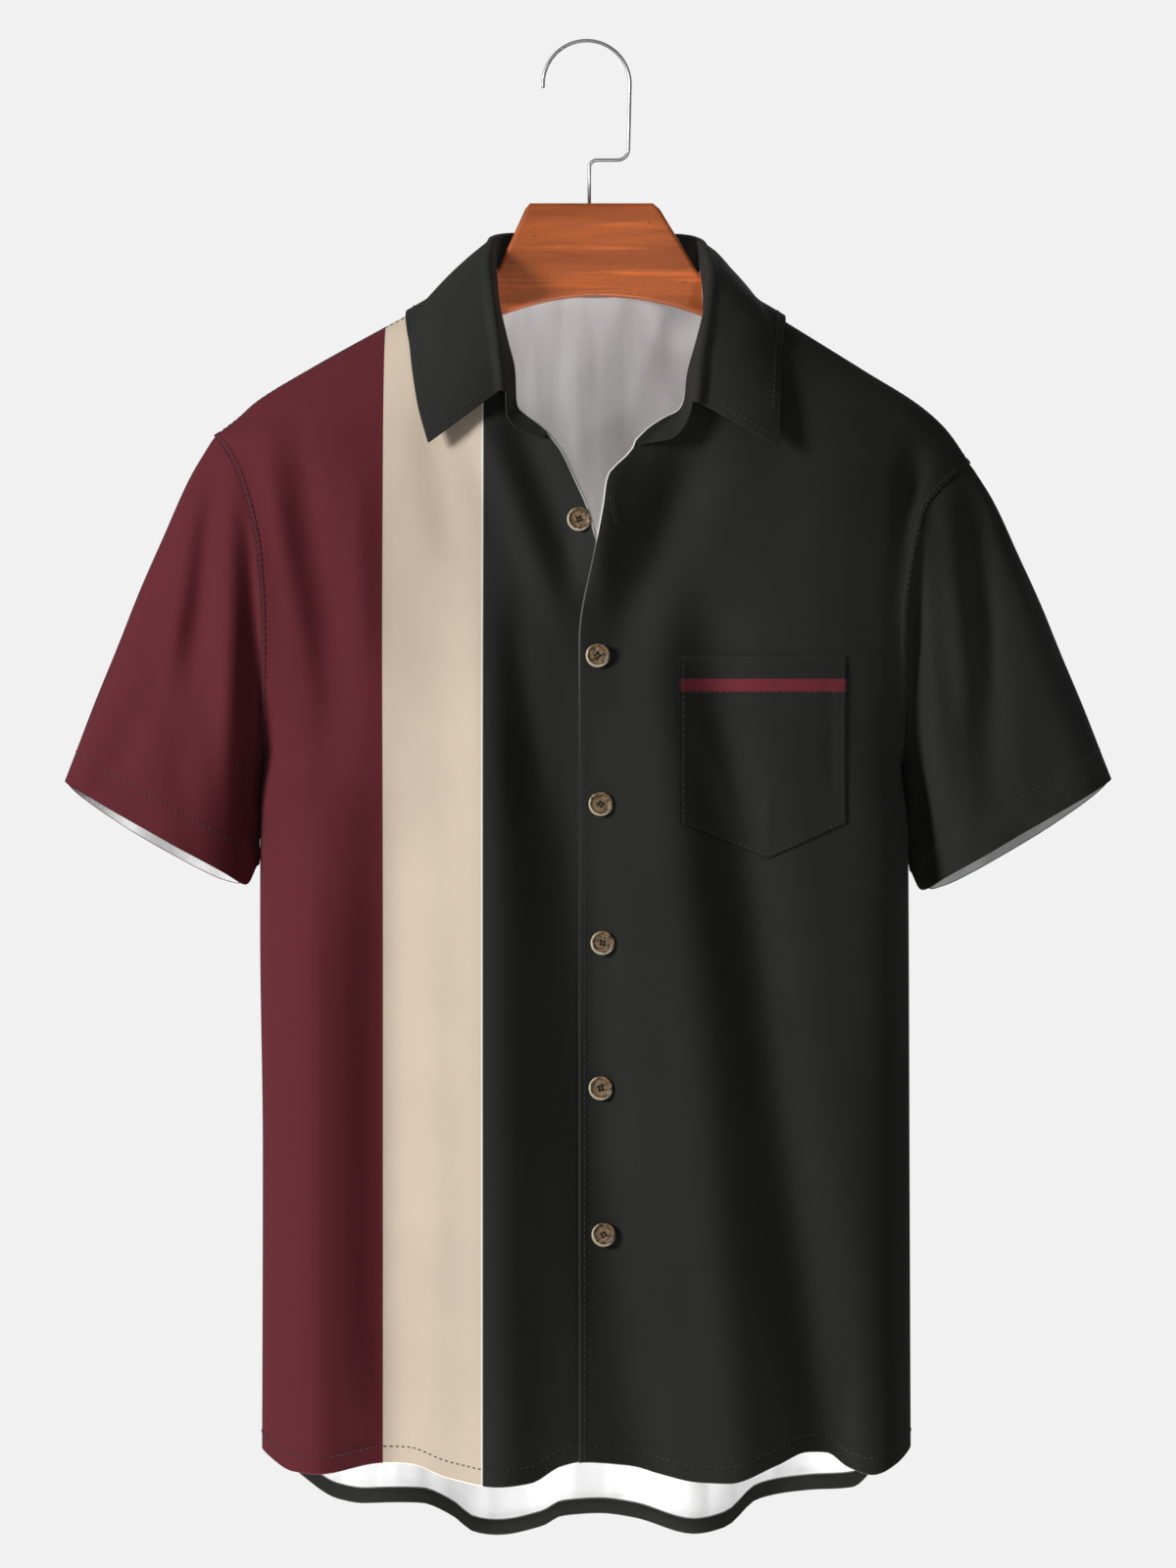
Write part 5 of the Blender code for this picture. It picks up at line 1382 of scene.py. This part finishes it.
def coconut_finish(name, colour):
    """Mottled brown shell with darker pores and a pale rim, a painted highlight that is widest at the lower
    left.
    """
    recipe = new_recipe(name)
    place = recipe.place()
    mottle = recipe.cloud(place, 420.0, 4.0, 0.6)
    pores = recipe.rise(recipe.cloud(recipe.stretched(place, 1, 1, 3.0), 1500.0, 2.0), 0.62, 0.74)
    out, low, _ = recipe.parts(recipe.kept("rim"))
    stops = [(at, shade(colour, by)) for at, by in COCONUT_STOPS]
    tone = recipe.add("ShaderNodeValToRGB", {"stops": stops}, {"Fac": mottle})
    tone = recipe.mix(pores * 0.7, tone, shade(colour, 0.2))
    ring = recipe.rise(out, *BUTTON_RING[:2]) * (1 - recipe.rise(out, *BUTTON_RING[2:]))
    tone = recipe.mix(ring * 0.55, tone, shade(colour, 0.3))
    # The pale rim is a painted highlight, reaching further in towards the lower left.
    edge = recipe.rise(out + low * 0.16 + (mottle - 0.5) * 0.0022, *RIM_HIGHLIGHT_SPAN)
    tone = recipe.mix(edge * 0.9, tone, PALE_RIM_HIGHLIGHT)
    return recipe.finish(base_color=tone, roughness=0.34 + 0.25 * mottle,
                         normal=recipe.bump(mottle, 0.0003, 0.3), coat_weight=0.15, coat_roughness=0.25)


def wood_finish(name, colour):
    """Orange brown stained wood: streaky grain along the arms under a thin satin varnish."""
    recipe = new_recipe(name)
    place = recipe.place()
    _, y, z = recipe.parts(place)
    rings = recipe.wave(z + y * 0.35 + recipe.cloud(place, 7.0) * 0.05, 95.0) * 0.5 + 0.5
    tone = recipe.mix(rings * 0.3, full(colour), shade(colour, 0.7))
    layers = [recipe.cloud(recipe.stretched(place, *layer.stretch), 1.0, layer.detail, layer.rough)
              for layer in WOOD_GRAIN]
    for field, layer in zip(layers, WOOD_GRAIN):
        strength = recipe.rise(field, layer.low, layer.high) * layer.share
        tone = recipe.mix(strength, tone, shade(colour, layer.by))
    pores = layers[2]
    return recipe.finish(base_color=tone, roughness=0.36 + 0.22 * pores,
                         normal=recipe.bump(pores + rings * 0.3, 0.00025, 0.35),
                         coat_weight=0.1, coat_roughness=0.3, specular_ior_level=0.3)


def steel_finish(name, colour):
    """Bright drawn wire with fine scratches."""
    recipe = new_recipe(name)
    scratch = recipe.cloud(recipe.stretched(recipe.place(), 300, 2600, 300), 1.0, 3.0)
    tone = recipe.mix(scratch * 0.5, full(colour), shade(colour, 0.8))
    return recipe.finish(base_color=tone, metallic=1.0, roughness=0.36 + 0.1 * scratch,
                         normal=recipe.bump(scratch, 0.00004, 0.3))


def finish(name):
    """A finish by its name, made once."""
    if name in bpy.data.materials:
        return bpy.data.materials[name]
    colours = bpy.context.scene.shirt_colours
    makers = {
        "printed_rayon": lambda: cloth_finish(name, None, bands),
        "maroon_rayon": lambda: cloth_finish(name, colours.maroon),
        "black_rayon": lambda: cloth_finish(name, colours.black),
        "back_rayon": lambda: cloth_finish(name, None, shoulder_bands),
        "pocket_rayon": lambda: cloth_finish(name, None, pocket_strip),
        "open_edge": lambda: cloth_finish(name, None, opening_edge),
        "plain_inside": lambda: reverse_finish(name),
        "hemmed_inside": lambda: reverse_finish(name, colours.black),
        "black_thread": lambda: thread_finish(name, colours.thread),
        "coconut": lambda: coconut_finish(name, colours.button),
        "stained_wood": lambda: wood_finish(name, colours.wood),
        "drawn_steel": lambda: steel_finish(name, colours.steel),
    }
    return makers[name]()


# ---- the pieces ----

def hem_wall(sheet, border):
    """Thickness over a sheet: its own, and more where the cloth is turned up."""
    sizes = bpy.context.scene.shirt_sizes
    cloth, hem = sizes.cloth / MM, sizes.hem / MM
    low, high = HEM_WIDTH - HEM_FADE[0], HEM_WIDTH + HEM_FADE[1]
    return cloth + (hem - cloth) * (1 - smoothstep(low, high, getattr(sheet, border)))


class Shirt:
    """The sheets of the shirt, made once and shared by the steps that sew on them."""

    made = {}

    @classmethod
    def sheet(cls, name):
        """One sheet by its name."""
        makers = {
            "front_right": lambda: front_sheet("left", under_face),
            "front_left": lambda: front_sheet("right", over_face),
            "back": back_sheet,
            "sleeve_right": lambda: sleeve_sheet("left"),
            "sleeve_left": lambda: sleeve_sheet("right"),
            "stand": lambda: stand_sheet(cls.panels()),
            "leaf": lambda: leaf_sheet(cls.panels()),
            "pocket": pocket_sheet,
        }
        if name not in cls.made:
            cls.made[name] = makers[name]()
        return cls.made[name]

    @classmethod
    def panels(cls):
        """The fronts and the back as one searchable surface."""
        if "panels" not in cls.made:
            sheets = [cls.sheet(name) for name in ("front_right", "front_left", "back")]
            cls.made["panels"] = body_tree(*sheets)
        return cls.made["panels"]


def make_fronts():
    """Both fronts, hemmed, with the pale edge of the cloth along their openings."""
    for name, outside, slot, area in (("front_right", "printed_rayon", "printed_cloth", FRONT_RIGHT_AREA),
                                      ("front_left", "black_rayon", "black_cloth", FRONT_LEFT_AREA)):
        sheet = Shirt.sheet(name)
        borders = sheet.low, sheet.first, sheet.nearest("last", "high")
        wall = np.maximum(hem_wall(sheet, "low"), hem_wall(sheet, "first") * EDGE_HEM)
        materials = [finish(outside), finish("plain_inside"), finish("open_edge")]
        mesh = shell(name + "_cloth", sheet, wall, materials, borders, "first")
        made = put(name + "_cloth", mesh, slot, name)


def make_back():
    """The back, in one piece from hem to shoulder seams."""
    sheet = Shirt.sheet("back")
    borders = sheet.low, FAR_FROM_EDGE, sheet.nearest("first", "last", "high")
    materials = [finish("back_rayon"), finish("hemmed_inside")]
    mesh = shell("back_cloth", sheet, hem_wall(sheet, "low"), materials, borders)
    made = put("back_cloth", mesh, "black_cloth", "back")


def make_sleeves():
    """Both short sleeves, sewn round the armholes and hemmed."""
    for name, outside, slot in (("sleeve_right", "maroon_rayon", "maroon_cloth"),
                                ("sleeve_left", "black_rayon", "black_cloth")):
        sheet = Shirt.sheet(name)
        materials = [finish(outside), finish("plain_inside")]
        borders = sheet.high, FAR_FROM_EDGE, sheet.low
        mesh = shell(name + "_cloth", sheet, hem_wall(sheet, "high"), materials, borders)
        made = put(name + "_cloth", mesh, slot, name)


def make_collar_stand():
    """The collar's stand with its two open tabs."""
    sheet = Shirt.sheet("stand")
    black = finish("black_rayon")
    borders = FAR_FROM_EDGE, sheet.high, sheet.low + STAND_SEAM_AWAY
    mesh = shell("collar_stand_cloth", sheet, STAND_WALL, [black, black], borders)
    made = put("collar_stand_cloth", mesh, "black_cloth", "collar_stand")


def make_collar_leaf():
    """The collar's leaf, turned down over its stand."""
    sheet = Shirt.sheet("leaf")
    black = finish("black_rayon")
    borders = sheet.high + LEAF_HEM_AWAY, sheet.nearest("first", "last", "high"), FAR_FROM_EDGE
    mesh = shell("collar_leaf_cloth", sheet, LEAF_WALL, [black, black], borders)
    made = put("collar_leaf_cloth", mesh, "black_cloth", "collar_leaf")


def make_pocket():
    """The chest pocket with its printed strip."""
    sheet = Shirt.sheet("pocket")
    materials = [finish("pocket_rayon"), finish("plain_inside")]
    borders = sheet.high + POCKET_HEM_AWAY, sheet.high, sheet.nearest("first", "last", "low")
    mesh = shell("pocket_cloth", sheet, hem_wall(sheet, "high"), materials, borders)
    made = put("pocket_cloth", mesh, "black_cloth", "pocket")


def buttonhole(tree, x, z, degrees, length):
    """The satin stitches round a buttonhole, laid on a surface seen from the front."""
    turn = radians(degrees)
    along, across = np.array([cos(turn), sin(turn)]), np.array([-sin(turn), cos(turn)])
    first, last, up = [], [], []
    for k in range(int(length / HOLE_PITCH) + 1):
        for side in (-1, 1):
            spot = np.array([x, z]) + along * (k * HOLE_PITCH - length / 2)
            near, far = spot + across * side * HOLE_SLIT, spot + across * side * HOLE_REACH
            start, facing = seen(tree, *near)
            end, _ = seen(tree, *far)
            first.append(start)
            last.append(end)
            up.append(facing)
    for end in (-1, 1):
        for side in np.linspace(-HOLE_REACH, HOLE_REACH, 7):
            spot = np.array([x, z]) + along * end * length / 2 + across * side
            start, facing = seen(tree, *spot)
            stop, _ = seen(tree, *(spot + along * end * HOLE_BAR))
            first.append(start)
            last.append(stop)
            up.append(facing)
    return np.array(first), np.array(last), np.array(up)


def make_stitching():
    """All the seams that show on the outside, and the two buttonholes that show."""
    black = finish("black_thread")
    for name, seams in SEAMS.items():
        runs = [stitches_along(*Shirt.sheet(name).line(*seam)) for seam in seams]
        mesh = thread_mesh(f"stitching_{name}", runs, THREAD_RADIUS, black)
        put(f"stitching_{name}", mesh, "black_cloth")
    tab = body_tree(Shirt.sheet("stand"), Shirt.sheet("leaf"))
    holes = [buttonhole(body_tree(Shirt.sheet("front_left")), *OPEN_HOLE), buttonhole(tab, *TAB_HOLE)]
    put("buttonholes", thread_mesh("buttonholes", holes, HOLE_THREAD, black), "black_cloth")


def button_mesh():
    """One button: a turned disc with a dished face and four holes."""
    profile = [(radius * MM, 0, height * MM) for radius, height in BUTTON_PROFILE]
    mesh = bpy.data.meshes.new("button_section")
    mesh.from_pydata(profile, [(k, k + 1) for k in range(len(profile) - 1)], [])
    made = loose_object("button_section", mesh)
    screw = made.modifiers.new("turned", "SCREW")
    screw.axis, screw.steps, screw.render_steps = "Z", BUTTON_SIDES, BUTTON_SIDES
    screw.use_merge_vertices, screw.merge_threshold = True, 0.00002
    holes = [(cos(turn) * THREAD_SPREAD, sin(turn) * THREAD_SPREAD, 0) for turn in QUARTERS]
    mesh = cut_out(made, pegs("thread_holes", holes, THREAD_HOLE, 12))
    mesh.materials.clear()
    mesh.materials.append(finish("coconut"))
    mesh.shade_smooth()
    mesh.set_sharp_from_angle(angle=radians(40))
    return mesh


def make_buttons():
    """The six buttons, each sewn on through its four holes."""
    disc, panels = button_mesh(), Shirt.panels()
    for number in range(1, BUTTON_COUNT + 1):
        low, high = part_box(f"button_{number}")
        middle = (Vector(low) + Vector(high)) / 2 / MM
        cloth = [seen(panels, middle.x + BUTTON_FOOT * cos(turn), middle.z + BUTTON_FOOT * sin(turn))[0][1]
                 for turn in QUARTERS]
        seat, turn = min(cloth) - BUTTON_GAP, BUTTON_TURN * number
        mesh = disc.copy()
        mesh.transform(Matrix.Rotation(pi / 2, 4, "X") @ Matrix.Rotation(turn, 4, "Z"))
        spots = np.array([point.co for point in mesh.vertices]) / MM
        # How far each point lies towards the lower left, where the rim's painted highlight is widest.
        out, toward_highlight = np.hypot(spots[:, 0], spots[:, 2]), -spots @ np.array(RIM_HIGHLIGHT_SIDE)
        as_numbers(mesh, "rim", np.stack([out, toward_highlight, 0 * toward_highlight], axis=1))
        mesh.transform(Matrix.Translation(Vector((middle.x, seat, middle.z)) * MM))
        put(f"button_{number}_disc", mesh, "button", f"button_{number}")
        first, last, up = [], [], []
        for row in (-1, 1):
            for strand in (-1, 0, 1):
                z = row * THREAD_SPREAD * sin(pi / 4) + strand * STRAND_GAP
                for end, group in ((-1, first), (1, last)):
                    x = end * THREAD_SPREAD * cos(pi / 4)
                    group.append([middle.x + x * cos(turn) - z * sin(turn), seat - BUTTON_FACE,
                                  middle.z + x * sin(turn) + z * cos(turn)])
                up.append([0, -1, 0])
        mesh = thread_mesh(f"button_{number}_thread", [(np.array(first), np.array(last), np.array(up))],
                           STRAND_RADIUS, finish("black_thread"))
        put(f"button_{number}_thread", mesh, "black_cloth")


def wood_top(x):
    """Height of the arms' upper edge, a little below the shoulders."""
    below = ARM_BELOW_NECK + (ARM_BELOW_TIP - ARM_BELOW_NECK) * np.abs(x) / ARM_TIP_RIGHT
    return height_at(x, 0.0) - below


def arm_outline(neck, tip, foot):
    """One arm: out along its top, round its end and back along its underside to the arch."""
    x = neck + (tip - neck) * np.arange(ARM_STEPS + 1) / ARM_STEPS
    top = pairs(x, wood_top(x))
    radius = ARM_SLIM / 2
    turn = np.radians(np.linspace(ARM_END, -ARM_END, ARM_END_STEPS))
    end_z = float(wood_top(np.array(float(tip)))) - radius - ARM_END_DROP
    end = pairs(tip + np.sign(tip) * radius * np.cos(turn), end_z + radius * np.sin(turn))
    share = np.arange(ARM_STEPS) / ARM_STEPS
    x = tip + (foot - tip) * share
    under = pairs(x, wood_top(x) - (ARM_SLIM + (ARM_DEEP - ARM_SLIM) * share))
    return np.vstack([top, end, under, [[foot, ARCH_FOOT_Z]]])


def wood_outline():
    """The wood's outline, anticlockwise from the left of its top edge."""
    left = arm_outline(WOOD_NECK_LEFT, ARM_TIP_LEFT, ARCH_LEFT_X)
    right = arm_outline(WOOD_NECK_RIGHT, ARM_TIP_RIGHT, ARCH_RIGHT_X)
    x = np.linspace(ARCH_LEFT_X, ARCH_RIGHT_X, ARCH_STEPS + 1)[1:-1]
    foot = np.where(x < ARCH_TOP_X, ARCH_LEFT_X, ARCH_RIGHT_X)
    arch = pairs(x, ARCH_TOP_Z + (ARCH_FOOT_Z - ARCH_TOP_Z) * ((x - ARCH_TOP_X) / (foot - ARCH_TOP_X)) ** 2)
    first = [[WOOD_TOP_LEFT, WOOD_TOP], [WOOD_CHAMFER_LEFT, WOOD_CHAMFER]]
    last = [[WOOD_CHAMFER_RIGHT, WOOD_CHAMFER], [WOOD_TOP_RIGHT, WOOD_TOP]]
    return np.vstack([first, left, arch, right[::-1], last])


def make_hanger():
    """The flat wooden hanger with rounded edges and the hole for the hook's shank."""
    curve = bpy.data.curves.new("wood_outline", "CURVE")
    curve.dimensions, curve.fill_mode = "2D", "BOTH"
    curve.extrude = (WOOD_THICK / 2 - WOOD_ROUND) * MM
    curve.bevel_depth, curve.offset, curve.bevel_resolution = WOOD_ROUND * MM, -WOOD_ROUND * MM, 5
    outline = wood_outline()
    spline = curve.splines.new("POLY")
    spline.points.add(len(outline) - 1)
    spline.use_cyclic_u = True
    for point, (x, z) in zip(spline.points, outline):
        point.co = (x * MM, z * MM, 0, 1)
    mesh = settled(loose_object("wood_outline", curve))
    faced_out(mesh, merge=True)
    mesh.transform(Matrix.Rotation(pi / 2, 4, "X"))
    wood = loose_object("wood", mesh)
    bore = pegs("shank_bore", [(SHANK_X, 0, WOOD_TOP)], WIRE_RADIUS + BORE_GAP, 2 * SHANK_DEPTH)
    mesh = cut_out(wood, bore)
    mesh.shade_smooth()
    mesh.set_sharp_from_angle(angle=radians(35))
    wood = loose_object("wood", mesh)
    wood.modifiers.new("even_light", "WEIGHTED_NORMAL").keep_sharp = True
    mesh = settled(wood)
    mesh.materials.clear()
    mesh.materials.append(finish("stained_wood"))
    put("hanger_arms", mesh, "wood", "hanger_wood")


def bend(x, z, radius, start, end, steps):
    """Points round a bend in the hook about a centre, between two angles in degrees."""
    turn = np.radians(np.linspace(start, end, steps + 1))
    return np.stack([x + radius * np.cos(turn), 0 * turn, z + radius * np.sin(turn)], axis=1)


def make_hook():
    """The wire hook: round its loop, down its side, across the crank and down the shank."""
    side, crank = HOOK_SIDE_BEND, HOOK_SHANK_BEND
    path = np.vstack([
        bend(HOOK_X, HOOK_Z, HOOK_RADIUS, HOOK_TIP_ANGLE, 0, HOOK_STEPS),
        bend(HOOK_SIDE_X - side, HOOK_CRANK_Z + side, side, 0, -90, WIRE_STEPS),
        bend(SHANK_X + crank, HOOK_CRANK_Z - crank, crank, 90, 180, WIRE_STEPS),
        [[SHANK_X, 0, WOOD_TOP - SHANK_DEPTH + 1]],
    ])
    mesh = tube_mesh("hook", path, WIRE_RADIUS, WIRE_SIDES, finish("drawn_steel"))
    put("hook", mesh, "steel", "hook_wire")


def pointed(made, at):
    """Turn a light towards a place."""
    made.rotation_euler = (Vector(at) - made.location).to_track_quat("-Z", "Y").to_euler()


def make_stage():
    """A pale floor below the shirt, soft light from the front and left, and the camera."""
    scene = bpy.context.scene
    scene.view_settings.view_transform, scene.view_settings.look = "Standard", "None"
    recipe = Recipe(bpy.data.worlds.new("studio"))
    scene.world = recipe.owner
    wall = recipe.add("ShaderNodeBackground", {}, {"Color": BACKDROP})
    around = recipe.add("ShaderNodeBackground", {}, {"Color": AMBIENT, "Strength": AMBIENT_POWER})
    looked_at = recipe.add("ShaderNodeLightPath", {}, {}, "Is Camera Ray")
    both = recipe.add("ShaderNodeMixShader", {}, {0: looked_at, 1: around, 2: wall})
    recipe.add("ShaderNodeOutputWorld", {}, {"Surface": both})
    recipe = new_recipe("pale_floor")
    grain = recipe.cloud(recipe.place(), 60.0)
    pale = recipe.mix(grain, FLOOR_COLOUR, shade(FLOOR_COLOUR, 0.97))
    floor_finish = recipe.finish(base_color=pale, roughness=0.85 + 0.1 * grain)
    turn = 2 * pi * np.arange(FLOOR_SIDES) / FLOOR_SIDES
    ring = np.stack([FLOOR_RADIUS * np.cos(turn), FLOOR_RADIUS * np.sin(turn), 0 * turn + FLOOR_Z], axis=1)
    floor = loose_object("floor", make_mesh("floor", ring, [list(range(FLOOR_SIDES))], [floor_finish]))
    for lamp in LAMPS:
        light = bpy.data.lights.new(lamp.name, "AREA")
        light.shape, light.size = "DISK", lamp.size
        light.energy, light.spread = lamp.power, radians(lamp.spread)
        made = loose_object(lamp.name, light)
        made.location = lamp.place
        made.visible_camera = False
        pointed(made, lamp.target)
    camera = bpy.data.cameras.new("camera")
    camera.lens, camera.sensor_width, camera.clip_end = CAMERA_LENS, CAMERA_SENSOR, CAMERA_REACH
    made = loose_object("camera", camera)
    made.location = (0, -CAMERA_AWAY, CAMERA_Z)
    made.rotation_euler = (pi / 2, 0, 0)
    scene.camera = made


# ---- properties, operators and panel ----

def thickness(name, description, default, low, high):
    """A thickness that the user can change, in metres."""
    return bpy.props.FloatProperty(name=name, description=description, default=default, min=low, max=high,
                                   precision=5, unit="LENGTH")


def colour_property(name, description, default):
    """A colour that the user can change."""
    return bpy.props.FloatVectorProperty(name=name, description=description, default=default,
                                         subtype="COLOR", min=0, max=1)


class ShirtSizes(bpy.types.PropertyGroup):
    """Sizes that a user would change."""

    cloth: thickness("Cloth", "Thickness of the single cloth", 0.0006, 0.0002, 0.0012)
    hem: thickness("Hem", "Thickness where the cloth is turned up", 0.0012, 0.0004, 0.003)


class ShirtColours(bpy.types.PropertyGroup):
    """Colours that a user would change."""

    maroon: colour_property("Maroon", "Print and right sleeve", (0.122, 0.018, 0.026))
    cream: colour_property("Cream", "The stripe of the print", (0.71, 0.59, 0.465))
    black: colour_property("Black", "The plain cloth", (0.024, 0.024, 0.0225))
    inside: colour_property("Inside", "The pale inside of the cloth", (0.9, 0.9, 0.9))
    thread: colour_property("Thread", "All the sewing thread", (0.012, 0.011, 0.011))
    button: colour_property("Buttons", "The middle brown of the mottled shell", (0.13, 0.082, 0.038))
    wood: colour_property("Wood", "The stain of the hanger", (0.47, 0.105, 0.02))
    steel: colour_property("Steel", "The wire of the hook", (0.6, 0.6, 0.61))


class ShirtStep(bpy.types.Operator):
    """One step of making the shirt."""

    bl_options = {"REGISTER"}


class SHIRT_OT_fronts(ShirtStep):
    """Make both fronts"""

    bl_idname, bl_label = "shirt.fronts", "Fronts"

    def execute(self, context):
        make_fronts()
        return {"FINISHED"}


class SHIRT_OT_back(ShirtStep):
    """Make the back"""

    bl_idname, bl_label = "shirt.back", "Back"

    def execute(self, context):
        make_back()
        return {"FINISHED"}


class SHIRT_OT_sleeves(ShirtStep):
    """Make both sleeves"""

    bl_idname, bl_label = "shirt.sleeves", "Sleeves"

    def execute(self, context):
        make_sleeves()
        return {"FINISHED"}


class SHIRT_OT_collar_stand(ShirtStep):
    """Make the collar's stand"""

    bl_idname, bl_label = "shirt.collar_stand", "Collar stand"

    def execute(self, context):
        make_collar_stand()
        return {"FINISHED"}


class SHIRT_OT_collar_leaf(ShirtStep):
    """Make the collar's leaf"""

    bl_idname, bl_label = "shirt.collar_leaf", "Collar leaf"

    def execute(self, context):
        make_collar_leaf()
        return {"FINISHED"}


class SHIRT_OT_pocket(ShirtStep):
    """Make the chest pocket"""

    bl_idname, bl_label = "shirt.pocket", "Pocket"

    def execute(self, context):
        make_pocket()
        return {"FINISHED"}


class SHIRT_OT_stitching(ShirtStep):
    """Sew every seam that shows, and the buttonholes"""

    bl_idname, bl_label = "shirt.stitching", "Stitching"

    def execute(self, context):
        make_stitching()
        return {"FINISHED"}


class SHIRT_OT_buttons(ShirtStep):
    """Make the six buttons"""

    bl_idname, bl_label = "shirt.buttons", "Buttons"

    def execute(self, context):
        make_buttons()
        return {"FINISHED"}


class SHIRT_OT_hanger(ShirtStep):
    """Make the wooden hanger"""

    bl_idname, bl_label = "shirt.hanger", "Hanger"

    def execute(self, context):
        make_hanger()
        return {"FINISHED"}


class SHIRT_OT_hook(ShirtStep):
    """Make the wire hook"""

    bl_idname, bl_label = "shirt.hook", "Hook"

    def execute(self, context):
        make_hook()
        return {"FINISHED"}


class SHIRT_OT_stage(ShirtStep):
    """Set the floor, the light and the camera"""

    bl_idname, bl_label = "shirt.stage", "Stage"

    def execute(self, context):
        make_stage()
        return {"FINISHED"}


STEPS = (SHIRT_OT_hanger, SHIRT_OT_hook, SHIRT_OT_fronts, SHIRT_OT_back, SHIRT_OT_sleeves,
         SHIRT_OT_collar_stand, SHIRT_OT_collar_leaf, SHIRT_OT_pocket, SHIRT_OT_stitching, SHIRT_OT_buttons,
         SHIRT_OT_stage)


class SHIRT_PT_steps(bpy.types.Panel):
    """The shirt's sizes, colours and steps in the sidebar"""

    bl_idname, bl_label = "SHIRT_PT_steps", "Bowling shirt"
    bl_space_type, bl_region_type, bl_category = "VIEW_3D", "UI", "Shirt"

    def draw(self, context):
        for group in (context.scene.shirt_sizes, context.scene.shirt_colours):
            for name in group.__annotations__:
                self.layout.prop(group, name)
        for step in STEPS:
            self.layout.operator(step.bl_idname)


CLASSES = (ShirtSizes, ShirtColours, *STEPS, SHIRT_PT_steps)


def register():
    """Make the classes known and give the scene its properties."""
    for each in CLASSES:
        bpy.utils.register_class(each)
    bpy.types.Scene.shirt_sizes = bpy.props.PointerProperty(type=ShirtSizes)
    bpy.types.Scene.shirt_colours = bpy.props.PointerProperty(type=ShirtColours)


def unregister():
    """Take the properties and classes away again."""
    del bpy.types.Scene.shirt_colours
    del bpy.types.Scene.shirt_sizes
    for each in reversed(CLASSES):
        bpy.utils.unregister_class(each)


def main():
    """Make everything in order."""
    register()
    for step in STEPS:
        group, name = step.bl_idname.split(".")
        getattr(getattr(bpy.ops, group), name)()


if __name__ == "__main__":
    main()
